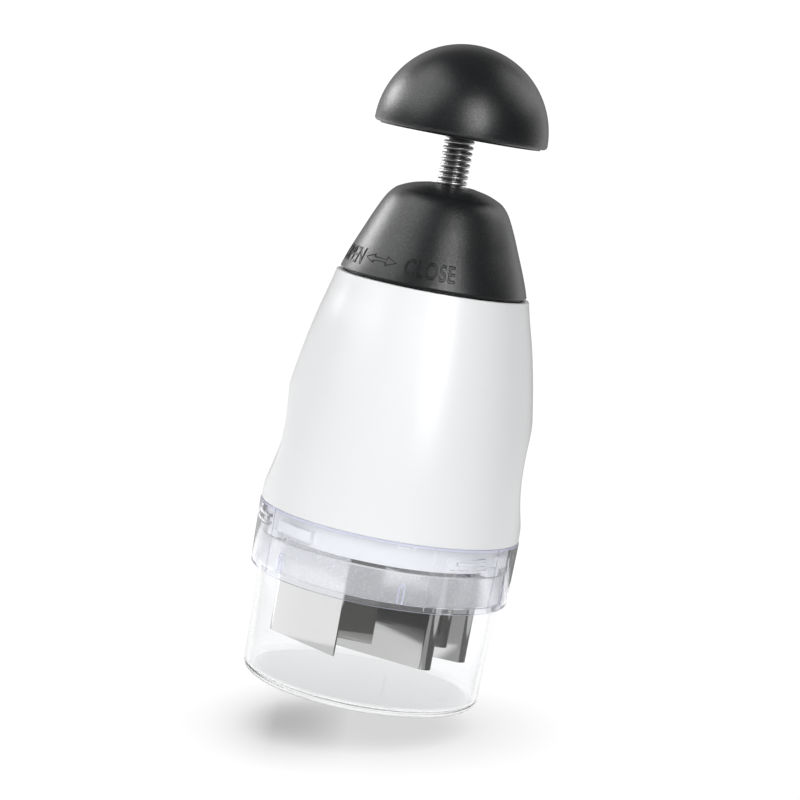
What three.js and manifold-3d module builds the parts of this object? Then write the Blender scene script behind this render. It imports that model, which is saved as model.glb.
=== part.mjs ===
// Push-down onion chopper. A palm knob on a sprung steel rod drives a zigzag blade down through a
// white body into a clear cup, and a toothed rotor turns the blade a step at each push.
// Millimetres, +Z up, origin in the middle of the cup's foot, front of the chopper towards -Y.
// Angles round the axis are in degrees from the front, positive towards the right.
import * as THREE from 'three';
import * as BufferGeometryUtils from 'three/addons/utils/BufferGeometryUtils.js';
import Module from 'manifold-3d';

const wasm = await Module();
wasm.setup();

// Clearances
const seatGap = 0.3;
const runGap = 0.4;
const overrun = 1;

// Facets of round pieces
const wideSides = 40;
const middleSides = 24;
const narrowSides = 10;
const gripSides = 64;

// Clear cup
const cupHeight = 49.4;
const cupRadius = 42;
const cupTaper = 1.1;
const cupFootRounding = 3.2;
const cupWall = 1.5;
const cupFloor = 2;
const cupFloorFillet = 2;
const rimBandHeight = 9.9;
const rimBandStep = 1;

// Clear collar ring with its bayonet ribs
const skirtGap = 1.3;
const collarOverSkirt = 8.9;
const collarLipHeight = 2;
const collarClearance = 0.6;
const collarWall = 1.4;
const collarTaper = 0.4;
const collarFootRounding = 2.2;
const bayonetCount = 3;
const collarRibAngle = 40;
const collarRibSpan = 24;
const collarRibHeight = 3.6;
const collarRibDrop = 2.6;
const collarRibDepth = 1.6;
const collarBossRadius = 2.7;
const collarBossSink = 0.5;
const keyRibCount = 6;
const keyRibAngle = 10.3;
const keyRibWidth = 2.4;
const keyRibHeight = 8;

// White body
const bodyHeight = 81.1;
const bodyUnderCollar = 0.3;
const bodyTopRadius = 33.1;
const bodyWall = 2.2;
const bodyOutlineShares = [
  [0, 1],
  [0.12, 0.99],
  [0.3, 0.93],
  [0.46, 0.8],
  [0.64, 0.595],
  [0.8, 0.36],
  [0.92, 0.135],
  [1, 0],
];
const bodyOutlineSteps = 11;
const bodyCavitySteps = 6;
const gripDepth = 3.7;
const gripCurve = 60;
const gripLift = 26.1;
const gripTurn = 1.5;
const skirtSpace = 2.4;
const skirtWall = 1.9;
const skirtStep = 2.2;
const ledgeHeight = 1;
const ledgeDepth = 1.9;
const skirtLugSpan = 9;
const skirtLugHeight = 2.2;
const stopBlockAngle = -46;
const stopBlockSpan = 22;
const neckHeight = 4;

// Black cap
const capJointGap = 1.05;
const capHeight = 33.95;
const capRadius = 32.1;
const capOutlineShares = [
  [0, 1],
  [0.1, 0.966],
  [0.25, 0.905],
  [0.42, 0.829],
  [0.6, 0.748],
  [0.77, 0.658],
  [0.86, 0.58],
  [0.91, 0.5],
  [0.955, 0.4],
  [0.985, 0.31],
];
const capOutlineSteps = 12;
const capCavitySteps = 7;
const capEdgeRounding = 1.2;
const capWall = 2.3;
const capPlugRadius = 30.5;
const capPlugWall = 2.1;
const capLugReach = 0.8;
const capLugHeight = 3;
const capLugSpan = 24;
const capLugAngle = 60;
const capTurn = 56;
const capNotchSpan = 30;
const throatWall = 1.7;
const springPocketDepth = 25.7;
const springSeatThickness = 2;
const capPostRadius = 3.2;
const capPostHeight = 15;

// Plunger
const pressTravel = 13.2;
const knobStopGap = 3.2;
const rodRadius = 3.6;
const rodHeadReach = 1.5;
const rodHeadHeight = 2.7;

// Return spring
const springWire = 1;
const springCurls = 20;
const curlSteps = 8;
const wireSides = 5;
const leastSelfGap = 0.4;

// Palm knob
const knobRadius = 29.9;
const knobRimHeight = 0.9;
const knobEdgeRounding = 0.5;
const knobWall = 2.4;
const knobArcSteps = 9;
const knobCavitySteps = 6;
const knobBaseRecess = 1;
const knobBaseThickness = 2.2;
const knobBossRadius = 8;
const knobBossHeight = 9.4;
const knobPostRadius = 3;
const knobPostCircle = 19;
const knobCupRadius = 4.4;
const knobCupHeight = 4.6;
const knobCupWall = 2;

// Screws and washers
const screwRadius = 1.25;
const screwHeadRadius = 2.6;
const screwHeadHeight = 1.6;
const screwBite = 8;
const knobScrewRadius = 1.7;
const knobScrewHeadRadius = 4;
const knobScrewHeadHeight = 3;
const knobScrewBite = 8;
const knobWasherRadius = 7;
const washerThickness = 1;
const rotorScrewRadius = 1;
const rotorScrewHeadRadius = 1.9;
const rotorScrewHeadHeight = 1.2;
const rotorScrewCircle = 7.6;
const rotorScrewBite = 6;
const postScrewCount = 3;
const rotorScrewCount = 2;

// Rod bush
const bushWall = 0.8;
const bushFlangeReach = 0.9;
const bushFlangeThickness = 1;

// Guide tube and indexing teeth
const tubeFlangeThickness = 2.8;
const tubeRadius = 21;
const tubeWall = 2;
const toothCount = 12;
const toothHeight = 3;
const toothLand = 0.4;
const toothAxialGap = 0.7;
const toothFlankGap = 4;
const toothInnerRadius = 11.2;
const toothOuterRadius = 16;
const crownBody = 3.2;
const crownFlange = 1.9;
const crownUpperBody = 4.3;
const crownRise = 4.7;
const rotorThickness = 4;
const rotorRimReach = 0.6;
const indexStep = 15;

// Blade holder
const holderSideGap = 2.8;
const holderThickness = 5;
const holderRunGap = 0.8;
const bladeSeatDepth = 3;
const hubRadius = 9.6;

// Zigzag blade, whose bends lie on a circle at the angles of the table
const bladeThickness = 0.6;
const bladeBendRadius = 2.6;
const bladeBendInset = 10.6;
const bladeEndInset = 9.3;
const bladeEndAngle = -18.5;
const bladeBendAngles = [-78.5, 38, -96.4];
const bladeBendStep = 30;
const bladeSlotGap = 0.4;

// Stripper disc
const stripperThickness = 2;

// Radii that follow from neighbours
const rimRadius = cupRadius + rimBandStep;
const collarInner = rimRadius + collarClearance;
const collarRadius = collarInner + collarWall;
const bodyRadius = collarRadius - bodyUnderCollar;
const gripFlatRadius = bodyRadius - gripDepth;
const bodyCavityRadius = gripFlatRadius - bodyWall;
const holderRadius = bodyCavityRadius - holderSideGap;
const bladeBendCircle = cupRadius - bladeBendInset;
const bladeEndCircle = cupRadius - bladeEndInset;
const skirtRadius = collarInner - skirtSpace;
const skirtInner = skirtRadius - skirtWall;
const lugRadius = collarInner - runGap;
const neckRadius = capPlugRadius + runGap;
const springRadius = (rodRadius + seatGap + springWire / 2) / Math.cos(Math.PI / curlSteps);
const springOuter = springRadius + springWire / 2;
const throatRadius = springOuter + runGap + seatGap;
const rodHeadRadius = rodRadius + rodHeadReach;
const rodHoleRadius = rodRadius + seatGap;
const bushRadius = rodHoleRadius + bushWall;
const bushHoleRadius = bushRadius + seatGap;
const tubeInner = tubeRadius - tubeWall;
const postCircle = tubeInner + screwHeadRadius + runGap;
const hubChamberRadius = rodHeadRadius + runGap;
const hubHoleRadius = hubRadius + runGap;
const knobInner = knobRadius - knobWall;

// Levels that follow from neighbours, from the cup's foot upwards
const cupRimLevel = cupHeight - rimBandHeight;
const collarLevel = cupRimLevel - seatGap - collarLipHeight;
const skirtLevel = cupHeight + skirtGap;
const collarTopLevel = skirtLevel + collarOverSkirt;
const shoulderLevel = collarTopLevel + seatGap;
const bodyTopLevel = shoulderLevel + bodyHeight;
const capLevel = bodyTopLevel + capJointGap;
const capTopLevel = capLevel + capHeight;
const knobLevel = capTopLevel + pressTravel + knobStopGap;
const stripperLevel = skirtLevel + ledgeHeight + seatGap;
const holderLevel = stripperLevel + stripperThickness + pressTravel + holderRunGap;
const bladeLevel = cupFloor + seatGap + pressTravel;
const bladeTopLevel = holderLevel + bladeSeatDepth - seatGap;
const lowerCrownLevel = holderLevel + holderThickness + crownRise;
const tubeLevel = lowerCrownLevel + crownFlange + seatGap;
const lowerToothLevel = tubeLevel + crownBody;
const rotorLevel = lowerToothLevel + toothHeight + toothAxialGap + pressTravel;
const upperToothLevel = rotorLevel + rotorThickness + toothHeight + toothAxialGap;
const tubeShoulderLevel = upperToothLevel + crownUpperBody + seatGap;
const hubTopLevel = rotorLevel - seatGap;
const rodLevel = hubTopLevel - rodHeadHeight;
const thrustLevel = rodLevel - seatGap - washerThickness;
const neckLevel = bodyTopLevel - neckHeight;
const plugLevel = neckLevel - seatGap - capLugHeight;
const postLevel = capLevel + seatGap;
const tubeFlangeLevel = postLevel - seatGap - tubeFlangeThickness;
const springSeatLevel = capTopLevel - springPocketDepth;
const bushFlangeLevel = springSeatLevel + seatGap;
const springLevel = bushFlangeLevel + bushFlangeThickness + seatGap;
const knobBaseLevel = knobLevel + knobBaseRecess;
const knobBossLevel = knobBaseLevel + knobBaseThickness + knobBossHeight;
const rodTopLevel = knobBossLevel - seatGap;
const springTopLevel = knobBaseLevel - seatGap;
const knobWasherLevel = knobBossLevel + seatGap;
const knobScrewLevel = knobWasherLevel + washerThickness + seatGap;
const coverScrewLevel = knobBaseLevel + knobCupHeight - knobCupWall - seatGap - screwHeadHeight;
const guideScrewLevel = tubeFlangeLevel - seatGap - screwHeadHeight;

// Geometry helpers
const radians = THREE.MathUtils.degToRad;

function fromFront(angle) {
  return radians(angle - 90);
}

function pointAt(radius, angle) {
  return new THREE.Vector2(radius * Math.cos(fromFront(angle)), radius * Math.sin(fromFront(angle)));
}

function arc(x, y, radius, from, to, steps) {
  return Array.from({ length: steps + 1 }, (_, i) => {
    const turn = radians(from + ((to - from) * i) / steps);
    return new THREE.Vector2(x + radius * Math.cos(turn), y + radius * Math.sin(turn));
  });
}

function weld(geometry) {
  const bare = geometry.clone();
  bare.deleteAttribute('normal');
  bare.deleteAttribute('uv');
  const welded = BufferGeometryUtils.mergeVertices(bare);
  const index = [];
  for (let i = 0; i < welded.index.count; i += 3) {
    const [a, b, c] = [0, 1, 2].map((k) => welded.index.getX(i + k));
    if (a !== b && b !== c && c !== a) index.push(a, b, c);
  }
  welded.setIndex(index);
  return welded;
}

function toSolid(geometry) {
  const welded = weld(geometry);
  const vertProperties = new Float32Array(welded.attributes.position.array);
  const triVerts = new Uint32Array(welded.index.array);
  return new wasm.Manifold(new wasm.Mesh({ numProp: 3, vertProperties, triVerts }));
}

function toGeometry(solid) {
  const { vertProperties, triVerts } = solid.getMesh();
  const geometry = new THREE.BufferGeometry();
  geometry.setAttribute('position', new THREE.BufferAttribute(new Float32Array(vertProperties), 3));
  geometry.setIndex(new THREE.BufferAttribute(new Uint32Array(triVerts), 1));
  return geometry;
}

function join(...geometries) {
  return toGeometry(geometries.map(toSolid).reduce((all, next) => all.add(next)));
}

function cut(geometry, ...tools) {
  return toGeometry(tools.map(toSolid).reduce((rest, tool) => rest.subtract(tool), toSolid(geometry)));
}

function turned(profile, sides = wideSides) {
  const points = profile.map((point) => (Array.isArray(point) ? new THREE.Vector2(...point) : point));
  return new THREE.LatheGeometry(points, sides).rotateX(Math.PI / 2);
}

function ringOf(profile, sides = wideSides) {
  return turned([...profile, profile[0]], sides);
}

function rod(radius, low, high, sides = narrowSides) {
  return turned([[0, low], [radius, low], [radius, high], [0, high]], sides);
}

function tube(inner, outer, low, high, sides = middleSides) {
  return ringOf([[inner, low], [outer, low], [outer, high], [inner, high]], sides);
}

function extruded(outline, low, high, holes = []) {
  const shape = new THREE.Shape(outline);
  shape.holes = holes.map((hole) => new THREE.Path(hole));
  const options = { depth: high - low, bevelEnabled: false };
  return new THREE.ExtrudeGeometry(shape, options).translate(0, 0, low);
}

function sector(inner, outer, middle, span, low, high) {
  const [from, to] = [middle - 90 - span / 2, middle - 90 + span / 2];
  const steps = Math.ceil((span * wideSides) / 360);
  const outline = [...arc(0, 0, outer, from, to, steps), ...arc(0, 0, inner, to, from, steps)];
  return extruded(outline, low, high);
}

function around(count, make) {
  return Array.from({ length: count }, (_, i) => make((i * 360) / count));
}

function standing(geometry, radius, angle) {
  const spot = pointAt(radius, angle);
  return geometry.translate(spot.x, spot.y, 0);
}

function spread(outlineShares, steps, lowRadius, highRadius, height) {
  const marks = outlineShares.map(
    ([rise, share]) => new THREE.Vector2(highRadius + (lowRadius - highRadius) * share, height * rise),
  );
  return new THREE.SplineCurve(marks).getPoints(steps);
}

// Clear cup, open at the top, with a wider frosted band at its rim
function makeCup() {
  const footRadius = cupRadius - cupTaper;
  const innerFoot = footRadius - cupWall;
  return turned([
    [0, 0],
    ...arc(footRadius - cupFootRounding, cupFootRounding, cupFootRounding, -90, 0, 4),
    [cupRadius, cupRimLevel],
    [rimRadius, cupRimLevel],
    [rimRadius, cupHeight],
    [cupRadius - cupWall, cupHeight],
    ...arc(innerFoot - cupFloorFillet, cupFloor + cupFloorFillet, cupFloorFillet, 0, -90, 3),
    [0, cupFloor],
  ]);
}

// Clear ring: a lip under the cup's rim band, and ribs that hang on the skirt's lugs
function makeCollar() {
  const height = collarTopLevel - collarLevel;
  const ribTop = height - collarRibDrop;
  const ribLow = ribTop - collarRibHeight;
  const ribInner = collarInner - collarRibDepth;
  const embedded = collarInner + collarWall / 2;
  const shell = ringOf([
    [cupRadius + runGap, 0],
    ...arc(
      collarRadius - collarTaper - collarFootRounding,
      collarFootRounding,
      collarFootRounding,
      -90,
      0,
      3,
    ),
    [collarRadius, height],
    [collarInner, height],
    [collarInner, collarLipHeight],
    [cupRadius + runGap, collarLipHeight],
  ]);
  const ribs = around(bayonetCount, (turn) =>
    sector(ribInner, embedded, collarRibAngle + turn, collarRibSpan, ribLow, ribTop),
  );
  const bossAngle = collarRibAngle - collarRibSpan / 2;
  const bosses = around(bayonetCount, (turn) =>
    new THREE.CylinderGeometry(collarBossRadius, collarBossRadius, embedded - ribInner, narrowSides)
      .translate(0, -(embedded + ribInner) / 2, ribTop - collarBossRadius - collarBossSink / 2)
      .rotateZ(radians(bossAngle + turn)),
  );
  const keyRibs = around(keyRibCount, (turn) =>
    new THREE.BoxGeometry(keyRibWidth, embedded - rimRadius - seatGap, keyRibHeight)
      .translate(0, -(embedded + rimRadius + seatGap) / 2, collarLipHeight + keyRibHeight / 2)
      .rotateZ(radians(keyRibAngle + turn)),
  );
  return join(shell, ...ribs, ...bosses, ...keyRibs);
}

// White body: skirt with a ledge for the stripper, grip hollows at both sides, and a notched neck
function makeBody() {
  const shoulder = shoulderLevel - skirtLevel;
  const outside = spread(bodyOutlineShares, bodyOutlineSteps, bodyRadius, bodyTopRadius, bodyHeight);
  const neck = neckLevel - skirtLevel;
  const inside = spread(bodyOutlineShares, bodyCavitySteps, bodyRadius, bodyTopRadius, bodyHeight)
    .map((mark) => new THREE.Vector2(Math.min(mark.x - bodyWall, bodyCavityRadius), mark.y + shoulder))
    .filter((mark) => mark.y > shoulder + skirtStep && mark.y < neck)
    .reverse();
  const top = shoulder + bodyHeight;
  const shell = ringOf([
    [skirtInner - ledgeDepth, 0],
    [skirtRadius, 0],
    [skirtRadius, shoulder],
    ...outside.map((mark) => new THREE.Vector2(mark.x, mark.y + shoulder)),
    [neckRadius, top],
    [neckRadius, neck],
    [neckRadius + capLugReach + runGap, neck],
    ...inside,
    [bodyCavityRadius, shoulder + skirtStep],
    [skirtInner, shoulder + skirtStep],
    [skirtInner, ledgeHeight],
    [skirtInner - ledgeDepth, ledgeHeight],
  ]);
  const grips = around(2, (turn) =>
    new THREE.CylinderGeometry(gripCurve, gripCurve, 2 * bodyRadius, gripSides)
      .translate(gripFlatRadius + gripCurve, 0, shoulder + gripLift)
      .rotateZ(radians(gripTurn + turn)),
  );
  const notches = around(bayonetCount, (turn) =>
    sector(
      neckRadius - overrun,
      neckRadius + capLugReach + runGap,
      capLugAngle + capTurn + turn,
      capNotchSpan,
      neck - overrun,
      top + overrun,
    ),
  );
  const ribLow = collarTopLevel - collarRibDrop - collarRibHeight - skirtLevel;
  const lugTop = ribLow - seatGap;
  const embedded = skirtRadius - skirtWall / 2;
  const lugMiddle = stopBlockAngle - (stopBlockSpan + skirtLugSpan) / 2;
  const lugs = around(bayonetCount, (turn) =>
    sector(embedded, lugRadius, lugMiddle + turn, skirtLugSpan, lugTop - skirtLugHeight, lugTop),
  );
  const blocks = around(bayonetCount, (turn) =>
    sector(
      embedded,
      lugRadius,
      stopBlockAngle + turn,
      stopBlockSpan,
      ribLow,
      ribLow + collarRibHeight,
    ),
  );
  return join(cut(shell, ...grips, ...notches), ...lugs, ...blocks);
}

// Black cap: a shell with a plug and bayonet lugs below, and a throat for the rod and the spring
function makeCap() {
  const plugLow = plugLevel - capLevel;
  const plugInner = capPlugRadius - capPlugWall;
  const seat = springSeatLevel - capLevel;
  const outside = spread(capOutlineShares, capOutlineSteps, capRadius, 0, capHeight);
  const crest = outside[outside.length - 1];
  const inside = spread(capOutlineShares, capCavitySteps, capRadius, 0, capHeight)
    .map((mark) => new THREE.Vector2(mark.x - capWall, mark.y - capWall / 2))
    .filter((mark) => mark.x > throatRadius + 2 * throatWall && mark.x < plugInner && mark.y > 0)
    .reverse();
  const shell = ringOf([
    [plugInner, plugLow],
    [capPlugRadius, plugLow],
    [capPlugRadius, 0],
    ...outside,
    [(crest.x + throatRadius) / 2, capHeight],
    [throatRadius + capEdgeRounding / 2, capHeight],
    [throatRadius, capHeight - capEdgeRounding / 2],
    [throatRadius, seat],
    [bushHoleRadius, seat],
    [bushHoleRadius, seat - springSeatThickness],
    [throatRadius + throatWall, seat - springSeatThickness],
    [throatRadius + throatWall, inside[0].y],
    ...inside,
    [plugInner, 0],
  ]);
  const lugs = around(bayonetCount, (turn) =>
    sector(
      capPlugRadius - capPlugWall / 2,
      neckRadius + capLugReach,
      capLugAngle + turn,
      capLugSpan,
      plugLow,
      plugLow + capLugHeight,
    ),
  );
  const low = postLevel - capLevel;
  const posts = around(postScrewCount, (turn) =>
    standing(rod(capPostRadius, low, low + capPostHeight), postCircle, turn),
  );
  const bores = around(postScrewCount, (turn) =>
    standing(rod(screwRadius + seatGap, low - overrun, low + screwBite + overrun), postCircle, turn),
  );
  return cut(join(shell, ...lugs, ...posts), ...bores);
}

// Tube under the cap that holds both toothed crowns
function makeGuideTube() {
  const shoulder = tubeShoulderLevel - tubeLevel;
  const flange = tubeFlangeLevel - tubeLevel;
  const flangeRadius = capPlugRadius - capPlugWall - runGap;
  const upperInner = tubeInner - tubeWall;
  const shell = ringOf([
    [tubeInner, 0],
    [tubeRadius, 0],
    [tubeRadius, shoulder + tubeWall],
    [tubeInner, shoulder + tubeWall],
    [tubeInner, flange],
    [flangeRadius, flange],
    [flangeRadius, flange + tubeFlangeThickness],
    [bushHoleRadius, flange + tubeFlangeThickness],
    [bushHoleRadius, flange],
    [upperInner, flange],
    [upperInner, shoulder],
    [tubeInner, shoulder],
  ], middleSides);
  const holes = around(postScrewCount, (turn) =>
    standing(
      rod(screwRadius + seatGap, flange - overrun, flange + tubeFlangeThickness + overrun),
      postCircle,
      turn,
    ),
  );
  return cut(shell, ...holes);
}

// One sloping tooth on a band of a ring: it stands on the level, or hangs from it
function tooth(start, span, level, first, last, hangs) {
  const points = [];
  for (const [angle, size] of [[start, first], [start + span, last]]) {
    for (const radius of [toothInnerRadius, toothOuterRadius]) {
      const spot = pointAt(radius, angle);
      points.push(spot.x, spot.y, hangs ? level - size : level - toothLand);
      points.push(spot.x, spot.y, hangs ? level + toothLand : level + size);
    }
  }
  const faces = [
    [0, 4, 6, 2],
    [1, 3, 7, 5],
    [0, 1, 5, 4],
    [2, 6, 7, 3],
    [0, 2, 3, 1],
    [4, 5, 7, 6],
  ];
  const geometry = new THREE.BufferGeometry();
  geometry.setAttribute('position', new THREE.Float32BufferAttribute(points, 3));
  geometry.setIndex(faces.flatMap(([a, b, c, d]) => [a, b, c, a, c, d]));
  return geometry;
}

// Ring of teeth, each with its upright flank at the high end of its slope
function teeth(level, first, last, hangs, turn) {
  const pitch = 360 / toothCount;
  return around(toothCount, (angle) =>
    tooth(angle + turn, pitch - toothFlankGap, level, first, last, hangs),
  );
}

// Fixed crown above the rotor, with teeth that hang into the rotor's upper teeth
function makeUpperCrown() {
  const body = tube(bushHoleRadius, tubeInner - runGap, 0, crownUpperBody);
  return join(body, ...teeth(0, toothHeight, toothLand, true, 0));
}

// Fixed crown at the tube's mouth, with a flange that closes the mouth round the hub
function makeLowerCrown() {
  const neck = crownFlange + seatGap;
  const body = ringOf([
    [hubHoleRadius, 0],
    [tubeRadius, 0],
    [tubeRadius, crownFlange],
    [tubeInner - runGap, crownFlange],
    [tubeInner - runGap, neck + crownBody],
    [hubHoleRadius, neck + crownBody],
  ], middleSides);
  return join(body, ...teeth(neck + crownBody, toothHeight, toothLand, false, indexStep));
}

// Rotor between the crowns, toothed on both faces and screwed to the blade holder's hub
function makeRotor() {
  const body = tube(rodHoleRadius, toothOuterRadius + rotorRimReach, 0, rotorThickness);
  const upper = teeth(rotorThickness, toothLand, toothHeight, false, 0);
  const lower = teeth(0, toothLand, toothHeight, true, 0);
  const sink = rotorThickness - rotorScrewHeadHeight - seatGap;
  const holes = around(rotorScrewCount, (turn) =>
    standing(
      rod(rotorScrewRadius + seatGap, -overrun, rotorThickness, narrowSides),
      rotorScrewCircle,
      turn,
    ),
  );
  const sinks = around(rotorScrewCount, (turn) =>
    standing(
      rod(rotorScrewHeadRadius + seatGap, sink, rotorThickness + overrun, narrowSides),
      rotorScrewCircle,
      turn,
    ),
  );
  return cut(join(body, ...upper, ...lower), ...holes, ...sinks);
}

// Screw along the axis, its head below its shank when upright
function makeScrew(radius, headRadius, headHeight, shank) {
  return turned([
    [0, 0],
    [headRadius, 0],
    [headRadius, headHeight],
    [radius, headHeight],
    [radius, headHeight + shank],
    [0, headHeight + shank],
  ], narrowSides);
}

// Zigzag outline of the blade: straight panels between round bends, widened by half a thickness
function zigzag(half, extension) {
  const mirrored = bladeBendAngles.map((angle) => angle + 180).reverse();
  const stops = [
    { spot: pointAt(bladeEndCircle, bladeEndAngle), side: 0 },
    ...[...bladeBendAngles, ...mirrored].map((angle, i) => ({
      spot: pointAt(bladeBendCircle, angle),
      side: i % 2 === 0 ? 1 : -1,
    })),
    { spot: pointAt(bladeEndCircle, bladeEndAngle + 180), side: 0 },
  ];
  const headings = stops.slice(1).map((next, i) => {
    const way = next.spot.clone().sub(stops[i].spot);
    const lean = Math.asin(((stops[i].side - next.side) * bladeBendRadius) / way.length());
    return way.angle() - lean;
  });
  const marks = [];
  const mark = (stop, heading, ahead) => {
    const along = new THREE.Vector2(Math.cos(heading), Math.sin(heading));
    const left = new THREE.Vector2(-along.y, along.x);
    const middle = stop.spot.clone().addScaledVector(left, stop.side * bladeBendRadius);
    marks.push({ middle: middle.addScaledVector(along, ahead), left });
  };
  mark(stops[0], headings[0], -extension);
  for (let i = 1; i < stops.length - 1; i += 1) {
    const from = headings[i - 1];
    const way = -stops[i].side;
    const full = 2 * Math.PI;
    const sweep = (((headings[i] - from) * way) % full + full) % full;
    const steps = Math.round(sweep / radians(bladeBendStep));
    for (let k = 0; k <= steps; k += 1) mark(stops[i], from + (way * sweep * k) / steps, 0);
  }
  mark(stops[stops.length - 1], headings[headings.length - 1], extension);
  const side = (sign) => marks.map((m) => m.middle.clone().addScaledVector(m.left, sign * half));
  return [...side(1), ...side(-1).reverse()];
}

function makeBlade() {
  return extruded(zigzag(bladeThickness / 2, 0), 0, bladeTopLevel - bladeLevel);
}

// Disc whose underside holds the blade's upper edge, with a hub that takes the rod's head
function makeHolder() {
  const hub = hubTopLevel - holderLevel;
  const chamber = thrustLevel - seatGap - holderLevel;
  const body = turned([
    [0, 0],
    [holderRadius, 0],
    [holderRadius, holderThickness],
    [hubRadius, holderThickness],
    [hubRadius, hub],
    [hubChamberRadius, hub],
    [hubChamberRadius, chamber],
    [0, chamber],
  ]);
  const groove = extruded(zigzag(bladeThickness / 2 + seatGap, seatGap), -overrun, bladeSeatDepth);
  const holes = around(rotorScrewCount, (turn) =>
    standing(
      rod(rotorScrewRadius + seatGap, hub - rotorScrewBite - overrun, hub + overrun),
      rotorScrewCircle,
      turn,
    ),
  );
  return cut(body, groove, ...holes);
}

function makeStripper() {
  const outline = arc(0, 0, skirtInner - runGap, 0, 360 - 360 / wideSides, wideSides - 1);
  const slot = zigzag(bladeThickness / 2 + bladeSlotGap, bladeSlotGap);
  return extruded(outline, 0, stripperThickness, [slot]);
}

// Rod with a head at its foot and a tapped bore at its top
function makeRod() {
  const length = rodTopLevel - rodLevel;
  const boreRadius = knobScrewRadius + seatGap;
  const boreFloor = length - knobScrewBite - overrun;
  return turned([
    [0, 0],
    [rodHeadRadius, 0],
    [rodHeadRadius, rodHeadHeight - seatGap],
    [rodRadius, rodHeadHeight - seatGap],
    [rodRadius, length],
    [boreRadius, length],
    [boreRadius, boreFloor],
    [0, boreFloor],
  ], middleSides);
}

function makeBush() {
  const length = bushFlangeLevel - tubeFlangeLevel;
  return ringOf([
    [rodHoleRadius, 0],
    [bushRadius, 0],
    [bushRadius, length],
    [bushRadius + bushFlangeReach, length],
    [bushRadius + bushFlangeReach, length + bushFlangeThickness],
    [rodHoleRadius, length + bushFlangeThickness],
  ], middleSides);
}

// Centre line of the spring: a helix between two short upright ends
function springLine() {
  const height = springTopLevel - springLevel;
  const low = springWire;
  const high = height - springWire;
  const steps = springCurls * curlSteps;
  const helix = Array.from({ length: steps + 1 }, (_, i) => {
    const spot = pointAt(springRadius, (i * 360) / curlSteps);
    return new THREE.Vector3(spot.x, spot.y, low + ((high - low) * i) / steps);
  });
  const foot = helix[0].clone().setZ(0);
  const head = helix[steps].clone().setZ(height);
  return [foot, ...helix, head];
}

// One unbroken wire along a line, with a small polygon for its section
function wire(line, radius, sides) {
  const tangents = line.map((_, i) => {
    const before = line[Math.max(i - 1, 0)];
    const after = line[Math.min(i + 1, line.length - 1)];
    return after.clone().sub(before).normalize();
  });
  const points = [];
  line.forEach((spot, i) => {
    const outward = new THREE.Vector3(spot.x, spot.y, 0).normalize();
    const across = new THREE.Vector3().crossVectors(tangents[i], outward).normalize();
    const away = new THREE.Vector3().crossVectors(across, tangents[i]).normalize();
    for (let k = 0; k < sides; k += 1) {
      const turn = (2 * Math.PI * k) / sides;
      const point = spot.clone();
      point.addScaledVector(away, radius * Math.cos(turn)).addScaledVector(across, radius * Math.sin(turn));
      points.push(point.x, point.y, point.z);
    }
  });
  const index = [];
  for (let i = 0; i < line.length - 1; i += 1) {
    for (let k = 0; k < sides; k += 1) {
      const [a, b] = [i * sides + k, i * sides + ((k + 1) % sides)];
      index.push(a, b, b + sides, a, b + sides, a + sides);
    }
  }
  const last = (line.length - 1) * sides;
  for (let k = 1; k < sides - 1; k += 1) {
    index.push(0, k + 1, k, last, last + k, last + k + 1);
  }
  const geometry = new THREE.BufferGeometry();
  geometry.setAttribute('position', new THREE.Float32BufferAttribute(points, 3));
  geometry.setIndex(index);
  return geometry;
}

// Least gap between stretches of the wire that are more than half a curl apart
function selfGap(line, radius) {
  let least = Infinity;
  for (let i = 0; i < line.length; i += 1) {
    for (let k = i + curlSteps / 2; k < line.length; k += 1) {
      least = Math.min(least, line[i].distanceTo(line[k]) - 2 * radius);
    }
  }
  return least;
}

function makeSpring() {
  const line = springLine();
  const gap = selfGap(line, springWire / 2);
  console.log(`return spring, least gap to itself: ${gap.toFixed(2)} mm, wanted over ${leastSelfGap} mm`);
  return wire(line, springWire / 2, wireSides);
}

// Palm knob: a hollow half ball with three posts for the cover screws
function makeKnob() {
  const inner = arc(0, knobRimHeight, knobInner, 90, 0, knobCavitySteps);
  const outer = arc(0, knobRimHeight, knobRadius, 0, 90, knobArcSteps);
  const shell = turned([
    [0, knobRimHeight + knobInner],
    ...inner.slice(1),
    [knobInner, 0],
    [knobRadius - knobEdgeRounding, 0],
    [knobRadius, knobEdgeRounding],
    ...outer.slice(0, -1),
    [0, knobRimHeight + knobRadius],
  ]);
  const reach = knobPostCircle + knobPostRadius;
  const middle = knobRadius - knobWall / 2;
  const low = knobBaseRecess + knobCupHeight + seatGap;
  const high = knobRimHeight + Math.sqrt(middle * middle - reach * reach);
  const posts = around(postScrewCount, (turn) =>
    standing(rod(knobPostRadius, low, high), knobPostCircle, turn),
  );
  const bores = around(postScrewCount, (turn) =>
    standing(rod(screwRadius + seatGap, low - overrun, low + screwBite + overrun), knobPostCircle, turn),
  );
  return cut(join(shell, ...posts), ...bores);
}

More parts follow.
